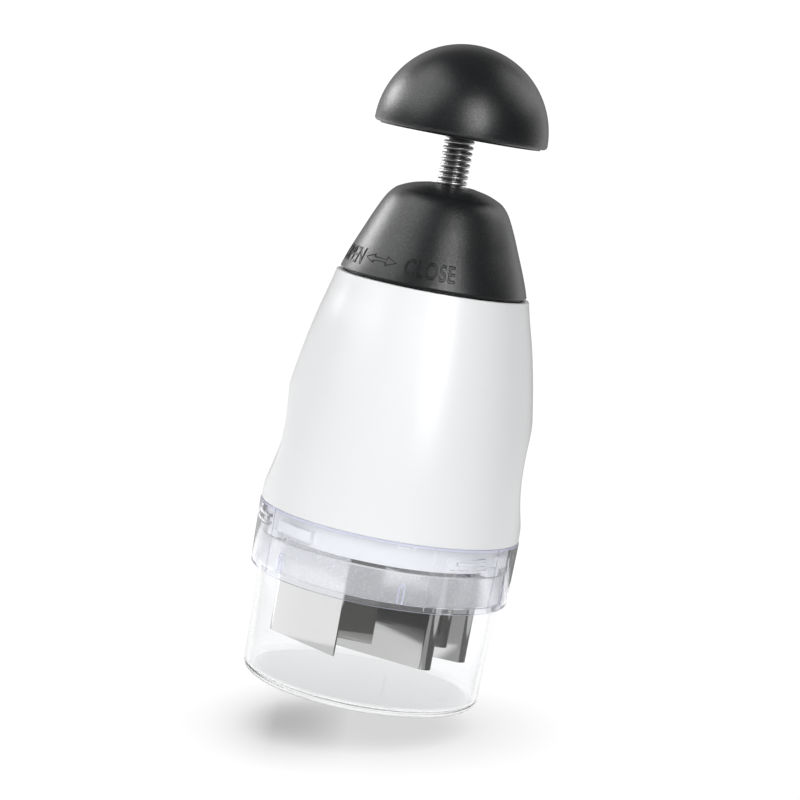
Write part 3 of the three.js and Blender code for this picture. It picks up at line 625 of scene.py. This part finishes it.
def ring_bar(name, inner, outer, low, high, start, span):
    # A stretch of square-edged ring: an upright plane spun from its start angle.
    let_go()
    turn = math.radians(start - 90)
    middle = (inner + outer) / 2
    spot = (middle * math.cos(turn), middle * math.sin(turn), (low + high) / 2)
    bpy.ops.mesh.primitive_plane_add(size=1, location=spot, rotation=(quarter_turn, 0, turn))
    bar = bpy.context.object
    bar.name = bar.data.name = name
    bar.scale = (outer - inner, high - low, 1)
    bpy.ops.object.transform_apply(location=True, rotation=True, scale=True)
    bpy.ops.object.mode_set(mode="EDIT")
    bpy.ops.mesh.select_all(action="SELECT")
    steps = max(1, round(span * collar_sides / 360))
    bpy.ops.mesh.spin(steps=steps, angle=-math.radians(span), center=(0, 0, 0), axis=(0, 0, 1))
    return closed_up(bar)


def rod_along(name, corners, radius):
    # A round rib or stroke that follows the corners.
    rod = drawn_line(name, corners)
    bpy.ops.object.mode_set(mode="OBJECT")
    bpy.ops.object.convert(target="CURVE")
    rod.data.bevel_depth = radius
    rod.data.bevel_resolution = 2
    rod.data.use_fill_caps = True
    bpy.ops.object.convert(target="MESH")
    return bpy.context.object


def radial_pin(name, radius, inner, outer, angle, height):
    # A short round pin whose axis points away from the chopper's own.
    let_go()
    turn = math.radians(angle - 90)
    middle = (inner + outer) / 2
    spot = (middle * math.cos(turn), middle * math.sin(turn), height)
    bpy.ops.mesh.primitive_cylinder_add(
        vertices=32,
        radius=radius,
        depth=outer - inner,
        location=spot,
        rotation=(0, quarter_turn, turn),
    )
    pin = bpy.context.object
    pin.name = pin.data.name = name
    bpy.ops.object.transform_apply(location=True, rotation=True, scale=True)
    return pin


def combined(piece, tools, operation):
    # Tools are joined one by one with a boolean, and removed afterwards.
    for tool in tools:
        pick(piece)
        change = piece.modifiers.new("combined", "BOOLEAN")
        change.operation = operation
        change.solver = "EXACT"
        change.object = tool
        bpy.ops.object.modifier_apply(modifier=change.name)
        bpy.data.objects.remove(tool)
    return piece


collar_inner = collar_radius - collar_wall
collar_bore = cup_radius + collar_lip_gap
collar_top = collar_high.z
collar_outline = [
    (collar_bore, collar_low.z),
    *arc(
        collar_radius - collar_taper - collar_foot_rounding,
        collar_low.z + collar_foot_rounding,
        collar_foot_rounding,
        -90,
        0,
        8,
    ),
    (collar_radius, collar_top - collar_rim_depth),
    (collar_radius - collar_rim_depth / 2, collar_top),
    (collar_inner, collar_top),
    (collar_inner, collar_low.z + collar_lip),
    (collar_bore, collar_low.z + collar_lip),
    (collar_bore, collar_low.z),
]
collar = turned("clear_collar", collar_outline, collar_sides)
rib_top = collar_top - bayonet_drop
rib_low = rib_top - bayonet_height
rib_inner = collar_inner - bayonet_depth
boss_face = rib_inner - boss_proud
embedded = collar_inner + collar_wall / 2
fittings = []
for third in range(3):
    start = bayonet_angle - bayonet_span / 2 + third * 120
    for low, high in ((rib_low, rib_low + bayonet_edge), (rib_top - bayonet_edge, rib_top)):
        fittings.append(ring_bar("bayonet", rib_inner, embedded, low, high, start, bayonet_span))
    web = (rib_inner + collar_inner) / 2
    fittings.append(ring_bar("bayonet_web", web, embedded, rib_low, rib_top, start, bayonet_span))
    middle_height = (rib_low + rib_top) / 2
    fittings.append(radial_pin("boss", boss_radius, boss_face, embedded, start, middle_height))
loop_foot = collar_low.z + collar_lip / 2
arch = arc(0, loop_foot + loop_height, loop_width / 2, 0, 180, 10)
arch = [(loop_width / 2, loop_foot), *arch, (-loop_width / 2, loop_foot)]
for sixth in range(loop_count):
    turn = math.radians(loop_angle + sixth * 360 / loop_count - 90)
    rib = collar_inner + loop_rib / 3
    corners = [(rib * math.cos(turn + x / rib), rib * math.sin(turn + x / rib), z) for x, z in arch]
    fittings.append(rod_along("loop", corners, loop_rib))
for angle in mould_line_angles:
    half = math.degrees(mould_line_width / 2 / collar_radius)
    low = collar_low.z + collar_foot_rounding
    outer = collar_radius + mould_line_width / 2
    fittings.append(ring_bar("mould_line", embedded, outer, low, collar_top, angle - half, 2 * half))
combined(collar, fittings, "UNION")
smoothed(collar)

collar_clear, shader = new_finish(
    "clear_collar_plastic",
    collar_colour,
    0.01,
    IOR=1.17,
    Transmission_Weight=0.95,
    Specular_IOR_Level=0.2,
)
marks = effect(collar_clear, handling, Smudge_Size=60)
between(collar_clear, shader, marks["Smudge"], "Roughness", 0.003, 0.02)
between(collar_clear, shader, marks["Scratch"], "Base Color", collar_colour, scratched_collar_colour)
# The edge's finish, paler and less clear: partly the plastic's lavender tint, partly a painted highlight
# along the rim, the foot's edge and the loops.
collar_edge, shader = new_finish(
    "clear_collar_edge",
    collar_edge_colour,
    0.4,
    IOR=1.2,
    Transmission_Weight=0.5,
    Specular_IOR_Level=0.15,
)
tips = effect(collar_edge, grain, Grain_Size=1500, Grain_Depth=0.00001)
relief(collar_edge, shader, tips)
between(collar_edge, shader, tips["Speck"], "Roughness", 0.35, 0.45)
let_light_through(collar_edge)
let_light_through(collar_clear)
dress(collar, collar_clear, collar_edge)
rim_from = collar_top - face_margin * collar_rim_depth
foot_to = collar_low.z + collar_foot_rounding / 3
loops_from = collar_low.z + face_margin * collar_lip
loops_to = rib_low - collar_rim_depth
for face in collar.data.polygons:
    # The rim, the foot's edge and the loops have the edge's finish, which carries a painted highlight.
    heights = [collar.data.vertices[i].co.z for i in face.vertices]
    outward = math.hypot(*face.center.xy)
    if outward > collar_inner:
        face.material_index = int(min(heights) > rim_from or max(heights) < foot_to)
    elif outward < collar_inner - loop_rib / 10:
        face.material_index = int(loops_from < face.center.z < loops_to)
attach(collar, "collar")
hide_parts("collar_ring")

# Housing. One white moulding: a skirt with bayonet lugs inside the collar, a body that narrows
# towards the cap, and a shallow hollow at each side for the fingers.
body_low, body_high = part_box("body_shell")
collar_clearance = 0.0003
body_base_height = collar_high.z + collar_clearance
body_height = body_high.z - body_base_height
body_radius = body_high.y
body_top_radius = 0.0331
body_wall = 0.0022
body_outline_shares = [
    (0, 1),
    (0.12, 0.99),
    (0.3, 0.93),
    (0.46, 0.8),
    (0.64, 0.595),
    (0.8, 0.36),
    (0.92, 0.135),
    (1, 0),
]
skirt_radius = 0.0412
skirt_wall = 0.0019
skirt_step = 0.0022
ledge_height = 0.001
ledge_depth = 0.0019
neck_radius = 0.0309
neck_height = 0.004
cavity_radius = 0.0388
grip_flat = 0.041
grip_curve = 0.06
grip_height = body_base_height + 0.0261
grip_turn = 1.5
grip_blend = 0.0012
lug_gap = 0.0004
lug_radius = collar_inner - lug_gap
lug_span = 9
lug_height = 0.0022
lug_clearance = 0.0003
block_angle = -46
block_span = 22
body_sides = 200
white_colour = (0.83, 0.836, 0.845)
scratched_white_colour = (0.8, 0.805, 0.81)


def through(points, steps):
    # A smooth curve through all the points, with even steps between each two.
    marks = [Vector(point) for point in (points[0], *points, points[-1])]
    curve = []
    for before, here, there, after in zip(marks, marks[1:], marks[2:], marks[3:]):
        leave = (there - before) / 2
        arrive = (after - here) / 2
        for i in range(steps):
            t = i / steps
            cubic = (2 * (here - there) + leave + arrive) * t**3
            square = (3 * (there - here) - 2 * leave - arrive) * t**2
            curve.append(tuple(cubic + square + leave * t + here))
    return [*curve, tuple(marks[-1])]


body_outline = through(
    [
        (
            body_top_radius + (body_radius - body_top_radius) * share,
            body_base_height + body_height * rise,
        )
        for rise, share in body_outline_shares
    ],
    8,
)
body_top = body_high.z
neck_low = body_top - neck_height
body_inside = [
    (min(radius - body_wall, cavity_radius), height)
    for radius, height in reversed(body_outline[::4])
    if body_base_height + skirt_step < height < neck_low - body_wall
]
skirt_inner = skirt_radius - skirt_wall
body = turned(
    "white_housing",
    [
        (skirt_inner - ledge_depth, body_low.z),
        (skirt_radius, body_low.z),
        (skirt_radius, body_base_height),
        *body_outline,
        (neck_radius, body_top),
        (neck_radius, neck_low),
        (body_inside[0][0] - body_wall, neck_low),
        *body_inside,
        (cavity_radius, body_base_height + skirt_step),
        (skirt_inner, body_base_height + skirt_step),
        (skirt_inner, body_low.z + ledge_height),
        (skirt_inner - ledge_depth, body_low.z + ledge_height),
        (skirt_inner - ledge_depth, body_low.z),
    ],
    body_sides,
)
for vertex in body.data.vertices:
    # The finger hollows: each outer point moves in to a level cylinder's side, with a soft crease.
    height = vertex.co.z - grip_height
    outward = Vector((vertex.co.x, vertex.co.y))
    if vertex.co.z <= body_base_height or outward.length <= cavity_radius or abs(height) >= grip_curve:
        continue
    side = Matrix.Rotation(math.radians(grip_turn), 2) @ Vector((1, 0))
    facing = abs(outward.normalized() @ side)
    reach = (grip_flat + grip_curve - math.sqrt(grip_curve**2 - height**2)) / max(facing, grip_blend)
    overlap = max(grip_blend - abs(outward.length - reach), 0) / grip_blend
    radius = min(outward.length, reach) - overlap**2 * grip_blend / 4
    vertex.co.x *= radius / outward.length
    vertex.co.y *= radius / outward.length
fittings = []
embedded = skirt_radius - skirt_wall / 2
lug_top = rib_low - lug_clearance
lug_low = lug_top - lug_height
for third in range(3):
    start = block_angle - block_span / 2 + third * 120
    fittings.append(ring_bar("stop", embedded, lug_radius, rib_low, rib_top, start, block_span))
    fittings.append(ring_bar("lug", embedded, lug_radius, lug_low, lug_top, start - lug_span, lug_span))
combined(body, fittings, "UNION")
smoothed(body)

white_plastic, shader = new_finish("white_plastic", white_colour, 0.32)
marks = effect(white_plastic, handling, Smudge_Size=38)
tips = effect(white_plastic, grain, Grain_Size=1100, Grain_Depth=0.00002)
between(white_plastic, shader, marks["Smudge"], "Roughness", 0.28, 0.37)
between(white_plastic, shader, marks["Scratch"], "Base Color", white_colour, scratched_white_colour)
relief(white_plastic, shader, tips)
dress(body, white_plastic)
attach(body, "housing")
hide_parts("body_shell")

# Cap. A black moulded cone over the housing's neck, finely grained, with a throat for the spring and
# the turning marks raised near its foot.
cap_low, cap_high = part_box("top_cap")
cap_top = cap_high.z
cap_foot_radius = 0.0321
cap_height = 0.03395
cap_base_height = cap_top - cap_height
cap_outline_shares = [
    (0, 1),
    (0.1, 0.966),
    (0.25, 0.905),
    (0.42, 0.829),
    (0.6, 0.748),
    (0.77, 0.658),
    (0.86, 0.58),
    (0.905, 0.5),
    (0.942, 0.4),
    (0.962, 0.31),
]
cap_plug_radius = 0.0305
cap_plug_wall = 0.0021
cap_throat = 0.0061
cap_throat_depth = 0.0257
cap_throat_wall = 0.0017
cap_bush_hole = 0.005
cap_wall = 0.0023
cap_dish = 0.0018
cap_rounding = 0.0004
cap_sides = 160
black_colour = (0.011, 0.0118, 0.0128)
worn_black_colour = (0.035, 0.036, 0.038)

cap_outline = through(
    [(cap_foot_radius * share, cap_base_height + cap_height * rise) for rise, share in cap_outline_shares],
    6,
)
cap_crest = cap_outline[-1]
cap_inside = [
    (radius - cap_wall, height - cap_wall / 2)
    for radius, height in reversed(cap_outline[::6])
    if cap_throat + 2 * cap_throat_wall < radius - cap_wall < cap_plug_radius - cap_plug_wall
]
cap_seat = cap_top - cap_throat_depth
cap = turned(
    "black_cap",
    [
        (cap_plug_radius - cap_plug_wall, cap_low.z),
        (cap_plug_radius, cap_low.z),
        (cap_plug_radius, cap_base_height),
        *cap_outline,
        ((cap_crest[0] + cap_throat) / 2, cap_top - cap_dish / 2),
        (cap_throat, cap_top - cap_dish / 2),
        (cap_throat, cap_seat),
        (cap_bush_hole, cap_seat),
        (cap_bush_hole, cap_seat - cap_wall),
        (cap_throat + cap_throat_wall, cap_seat - cap_wall),
        (cap_throat + cap_throat_wall, cap_inside[0][1]),
        *cap_inside,
        (cap_plug_radius - cap_plug_wall, cap_base_height),
        (cap_plug_radius - cap_plug_wall, cap_low.z),
    ],
    cap_sides,
)
rounded(cap, cap_rounding)
smoothed(cap)

black_plastic, shader = new_finish("black_plastic", black_colour, 0.34)
marks = effect(black_plastic, handling, Smudge_Size=55)
tips = effect(black_plastic, grain, Grain_Size=2400, Grain_Depth=0.00006)
worn = effect(black_plastic, edges, Edge_Width=0.0003)
between(black_plastic, shader, marks["Smudge"], "Roughness", 0.29, 0.34)
between(black_plastic, shader, worn["Edge"], "Base Color", black_colour, worn_black_colour)
between(black_plastic, shader, tips["Speck"], "Specular IOR Level", 0.4, 0.75)
relief(black_plastic, shader, tips)
dress(cap, black_plastic)
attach(cap, "cap_unit")
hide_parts("top_cap")

# Turning marks. Two words and a double arrow, moulded on the cap as raised outlines that follow its
# foot. They tell which way the cap is turned.
mark_stroke = 0.00017
fine_stroke = 0.0001
mark_rise = 0.00009
mark_low = cap_base_height + 0.0028
mark_height = 0.0057
letter_size = 1.4 * mark_height
letter_spacing = 1.12
# The marks' black is darker than the cap's: painted shade along the raised outlines.
shaded_mark_colour = (0.004, 0.0042, 0.0045)
worn_mark_colour = (0.02, 0.021, 0.022)
mark_words = [("OPEN", -83, -54, fine_stroke), ("CLOSE", -20, 12.5, mark_stroke)]
arrow_span = (-51.5, -26)
arrow_lift = 0.0003
arrow_middle = mark_low + mark_height / 2 + arrow_lift
arrow_half = 0.0016
arrow_shaft = 0.0006
arrow_head = 0.0042


def cap_radius_at(height):
    # How far the cap's side is from the axis at a height.
    for (radius, low), (next_radius, high) in zip(cap_outline, cap_outline[1:]):
        if low <= height <= high:
            return radius + (next_radius - radius) * (height - low) / (high - low)
    return cap_foot_radius


def wrapped(piece, low_angle, high_angle, low, high):
    # The flat outline is stretched to its place and laid round the cap.
    corners = [vertex.co.copy() for vertex in piece.data.vertices]
    left, right = min(corner.x for corner in corners), max(corner.x for corner in corners)
    foot, head = min(corner.y for corner in corners), max(corner.y for corner in corners)
    for vertex in piece.data.vertices:
        share = (vertex.co.x - left) / (right - left)
        turn = math.radians(low_angle + (high_angle - low_angle) * share - 90)
        height = low + (high - low) * (vertex.co.y - foot) / (head - foot)
        radius = cap_radius_at(height) + vertex.co.z + mark_rise
        vertex.co = (radius * math.cos(turn), radius * math.sin(turn), height)
    return piece


# The marks' finish is the cap's black made darker, as painted shade along the raised lines.
shaded_mark_plastic, shader = new_finish("shaded_mark_plastic", shaded_mark_colour, 0.4, Specular_IOR_Level=0.35)
tips = effect(shaded_mark_plastic, grain, Grain_Size=2400, Grain_Depth=0.00003)
worn = effect(shaded_mark_plastic, edges, Edge_Width=0.0001)
between(shaded_mark_plastic, shader, worn["Edge"], "Base Color", shaded_mark_colour, worn_mark_colour)
relief(shaded_mark_plastic, shader, tips)
raised_marks = []
for word, low_angle, high_angle, stroke in mark_words:
    let_go()
    bpy.ops.object.text_add()
    letters = bpy.context.object
    letters.name = letters.data.name = "mark_" + word.lower()
    letters.data.body = word
    letters.data.size = letter_size
    letters.data.fill_mode = "NONE"
    letters.data.bevel_depth = stroke
    letters.data.bevel_resolution = 1
    letters.data.space_character = letter_spacing
    bpy.ops.object.convert(target="MESH")
    letters = bpy.context.object
    raised_marks.append(wrapped(letters, low_angle, high_angle, mark_low, mark_low + mark_height))
arrow_length = math.radians(arrow_span[1] - arrow_span[0]) * cap_foot_radius
half_arrow = [
    (arrow_head - arrow_length / 2, arrow_shaft),
    (arrow_head - arrow_length / 2, arrow_half),
    (-arrow_length / 2, 0),
    (arrow_head - arrow_length / 2, -arrow_half),
    (arrow_head - arrow_length / 2, -arrow_shaft),
]
arrow = [*half_arrow, *[(-x, -y) for x, y in half_arrow]]
arrow = rod_along("mark_arrow", [(x, y, 0) for x, y in [*arrow, arrow[0]]], mark_stroke)
raised_marks.append(wrapped(arrow, *arrow_span, arrow_middle - arrow_half, arrow_middle + arrow_half))
for mark in raised_marks:
    smoothed(mark, 50)
    dress(mark, shaded_mark_plastic)
    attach(mark, "cap_unit")

# Spring. Bright drawn steel wire, wound right-handed round the rod. It stands between the bush and
# the knob, and shortens as the knob is pushed down.
spring_low, spring_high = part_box("return_spring")
spring_wire = 0.00124
spring_wire_sides = 12
spring_radius = 0.00458
spring_turns = 20
spring_turn_steps = 36
wire_colour = (0.6, 0.603, 0.607)
smudged_wire_colour = (0.5, 0.5, 0.495)
let_go()
bpy.ops.mesh.primitive_circle_add(
    vertices=spring_wire_sides,
    radius=spring_wire / 2,
    fill_type="NGON",
    location=(spring_radius, 0, spring_low.z + spring_wire / 2),
    rotation=(quarter_turn, 0, 0),
)
spring = bpy.context.object
spring.name = spring.data.name = "wound_spring"
bpy.ops.object.transform_apply(location=True, rotation=True, scale=True)
winding = spring.modifiers.new("winding", "SCREW")
winding.axis = "Z"
winding.angle = full_turn
winding.steps = spring_turn_steps
winding.render_steps = spring_turn_steps
winding.iterations = spring_turns
winding.screw_offset = (spring_high.z - spring_low.z - spring_wire) / spring_turns
bpy.ops.object.modifier_apply(modifier=winding.name)
bpy.ops.object.mode_set(mode="EDIT")
closed_up(spring)
smoothed(spring, 50)

spring_steel, shader = new_finish("spring_steel", wire_colour, 0.36, 1.0)
lines = effect(spring_steel, drawn, Upright=0, Line_Depth=0.00003)
marks = effect(spring_steel, handling, Smudge_Size=220)
between(spring_steel, shader, marks["Smudge"], "Base Color", wire_colour, smudged_wire_colour)
between(spring_steel, shader, lines["Streak"], "Roughness", 0.3, 0.4)
relief(spring_steel, shader, lines)
dress(spring, spring_steel)
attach(spring, "plunger")
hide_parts("return_spring")
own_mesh(spring)

# Rod. A turned and polished steel rod. Its head at the foot carries the blade's holder, and its top
# is screwed to the plate under the knob.
rod_low, rod_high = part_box("plunger_rod")
rod_radius = 0.0036
rod_head_radius = rod_high.x
rod_head_height = 0.0024
rod_rounding = 0.0003
rod_sides = 64
# The rod's steel is much darker than polished steel: painted shade for the rod inside the spring's coil.
shaded_rod_colour = (0.18, 0.182, 0.185)
scratched_rod_colour = (0.15, 0.15, 0.15)
rod = turned(
    "polished_rod",
    [
        (0, rod_low.z),
        (rod_head_radius, rod_low.z),
        (rod_head_radius, rod_low.z + rod_head_height),
        (rod_radius, rod_low.z + rod_head_height),
        (rod_radius, rod_high.z),
        (0, rod_high.z),
    ],
    rod_sides,
)
rounded(rod, rod_rounding)
smoothed(rod)
polished_steel, shader = new_finish("polished_steel", shaded_rod_colour, 0.4, 1.0)
lines = effect(polished_steel, drawn, Upright=1, Line_Depth=0.00002)
marks = effect(polished_steel, handling, Smudge_Size=160)
between(polished_steel, shader, marks["Scratch"], "Base Color", shaded_rod_colour, scratched_rod_colour)
between(polished_steel, shader, lines["Streak"], "Roughness", 0.38, 0.48)
relief(polished_steel, shader, lines)
dress(rod, polished_steel)
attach(rod, "plunger")
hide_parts("plunger_rod")

# Palm knob. A hollow half ball moulded in the cap's black plastic, with a slightly rounded rim and a
# small lip under it. Screws hold it to its plate from below.
knob_low, knob_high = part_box("palm_knob")
knob_rim = 0.0009
knob_crown_drop = 0.0004
knob_radius = knob_high.z - knob_low.z - knob_rim - knob_crown_drop
knob_edge = 0.0013
knob_lip = 0.0005
knob_lip_inset = 0.0022
knob_wall = 0.0024
knob_sides = 180
knob_centre = knob_low.z + knob_rim
knob_inner = knob_radius - knob_wall
knob = turned(
    "palm_knob_dome",
    [
        *arc(0, knob_centre, knob_inner, 90, 0, 24),
        (knob_inner, knob_low.z - knob_lip),
        (knob_radius - knob_lip_inset, knob_low.z - knob_lip),
        (knob_radius - knob_lip_inset, knob_low.z),
        *arc(knob_radius - knob_edge, knob_low.z + knob_edge, knob_edge, -90, 0, 4),
        *arc(0, knob_centre, knob_radius, 0, 90, 48),
    ],
    knob_sides,
)
smoothed(knob)
dress(knob, black_plastic)
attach(knob, "plunger")
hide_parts("palm_knob")

# Blade. One strip of polished steel bent into a zigzag: straight panels between round bends that lie
# on a circle, alike when turned half round.
blade_low, blade_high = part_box("chopping_blade")
blade_thickness = 0.0006
bend_radius = 0.0026
bend_circle = cup_radius - 0.0106
end_circle = cup_radius - 0.0093
end_angle = -18.5
bend_angles = [-78.5, 38, -96.4]
bend_step = 12
blade_colour = (0.8, 0.8, 0.785)
worn_blade_colour = (0.5, 0.5, 0.49)


def spot_at(radius, angle):
    turn = math.radians(angle - 90)
    return Vector((radius * math.cos(turn), radius * math.sin(turn)))


def zigzag_line(extension):
    # The blade's line, with its two ends drawn out by the extension.
    opposite = [angle + 180 for angle in reversed(bend_angles)]
    stops = [(spot_at(end_circle, end_angle), 0)]
    for i, angle in enumerate([*bend_angles, *opposite]):
        stops.append((spot_at(bend_circle, angle), 1 if i % 2 == 0 else -1))
    stops.append((spot_at(end_circle, end_angle + 180), 0))
    headings = []
    for (here, side), (there, next_side) in zip(stops, stops[1:]):
        way = there - here
        lean = math.asin((side - next_side) * bend_radius / way.length)
        headings.append(math.atan2(way.y, way.x) - lean)
    line = []

    def mark(spot, side, heading, ahead):
        along = Vector((math.cos(heading), math.sin(heading)))
        left = Vector((-along.y, along.x))
        line.append(spot + left * side * bend_radius + along * ahead)

    mark(*stops[0], headings[0], -extension)
    for i in range(1, len(stops) - 1):
        spot, side = stops[i]
        sweep = ((headings[i] - headings[i - 1]) * -side) % full_turn
        steps = max(1, round(math.degrees(sweep) / bend_step))
        for k in range(steps + 1):
            mark(spot, side, headings[i - 1] - side * sweep * k / steps, 0)
    mark(*stops[-1], headings[-1], extension)
    return line


def folded_strip(name, line, low, high, thickness):
    # The line is drawn up to its height and given its thickness.
    strip = drawn_line(name, [(*spot, low) for spot in line])
    bpy.ops.mesh.extrude_edges_move(TRANSFORM_OT_translate={"value": (0, 0, high - low)})
    bpy.ops.object.mode_set(mode="OBJECT")
    wall = strip.modifiers.new("thickness", "SOLIDIFY")
    wall.thickness = thickness
    wall.offset = 0
    wall.use_even_offset = True
    bpy.ops.object.modifier_apply(modifier=wall.name)
    bpy.ops.object.mode_set(mode="EDIT")
    bpy.ops.mesh.select_all(action="SELECT")
    bpy.ops.mesh.normals_make_consistent(inside=False)
    bpy.ops.object.mode_set(mode="OBJECT")
    return strip


blade = folded_strip("zigzag_blade", zigzag_line(0), blade_low.z, blade_high.z, blade_thickness)
smoothed(blade)
blade_steel, shader = new_finish("blade_steel", blade_colour, 0.07, 1.0)
lines = effect(blade_steel, drawn, Upright=0, Line_Depth=0.000004)
ripple = effect(blade_steel, grain, Grain_Size=60, Grain_Depth=0.0000015)
worn = effect(blade_steel, edges, Edge_Width=0.0002)
between(blade_steel, shader, lines["Streak"], "Roughness", 0.02, 0.05)
between(blade_steel, shader, worn["Edge"], "Base Color", blade_colour, worn_blade_colour)
relief(blade_steel, shader, ripple)
dress(blade, blade_steel)
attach(blade, "blade_unit")
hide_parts("chopping_blade")

# Stripper disc. A white moulded disc, slotted along the blade, that rests on the skirt's ledge and
# wipes the blade clean.
stripper_low, stripper_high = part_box("stripper_disc")
slot_gap = 0.0004
slot_width = blade_thickness + 2 * slot_gap
slot_low = stripper_low.z - slot_gap
slot_high = stripper_high.z + slot_gap
stripper_radius = stripper_high.y
stripper_sides = 120
stripper = turned(
    "slotted_stripper",
    [
        (0, stripper_low.z),
        (stripper_radius, stripper_low.z),
        (stripper_radius, stripper_high.z),
        (0, stripper_high.z),
    ],
    stripper_sides,
)
cutter = folded_strip("slot", zigzag_line(slot_gap), slot_low, slot_high, slot_width)
combined(stripper, [cutter], "DIFFERENCE")
smoothed(stripper)
dress(stripper, white_plastic)
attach(stripper, "stripper")
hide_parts("stripper_disc")

# Pieces inside. The bush, the guide tube, the toothed rings, the blade's holder and the knob's plate
# are moulded, and the screws and washers are plain steel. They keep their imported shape.
ivory_colour = (0.75, 0.73, 0.66)
worn_ivory_colour = (0.62, 0.6, 0.53)
ivory_plastic, shader = new_finish("ivory_plastic", ivory_colour, 0.4)
marks = effect(ivory_plastic, handling, Smudge_Size=70)
tips = effect(ivory_plastic, grain, Grain_Size=900, Grain_Depth=0.00004)
worn = effect(ivory_plastic, edges, Edge_Width=0.0003)
between(ivory_plastic, shader, marks["Smudge"], "Roughness", 0.34, 0.48)
between(ivory_plastic, shader, worn["Edge"], "Base Color", ivory_colour, worn_ivory_colour)
relief(ivory_plastic, shader, tips)
inside_finishes = {
    "rod_bush": ivory_plastic,
    "guide_tube": white_plastic,
    "index_crown_upper": ivory_plastic,
    "index_crown_lower": ivory_plastic,
    "index_rotor": ivory_plastic,
    "blade_holder": white_plastic,
    "knob_base": black_plastic,
}
for name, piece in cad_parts.items():
    if not piece.hide_render:
        dress(piece, inside_finishes.get(name, spring_steel))
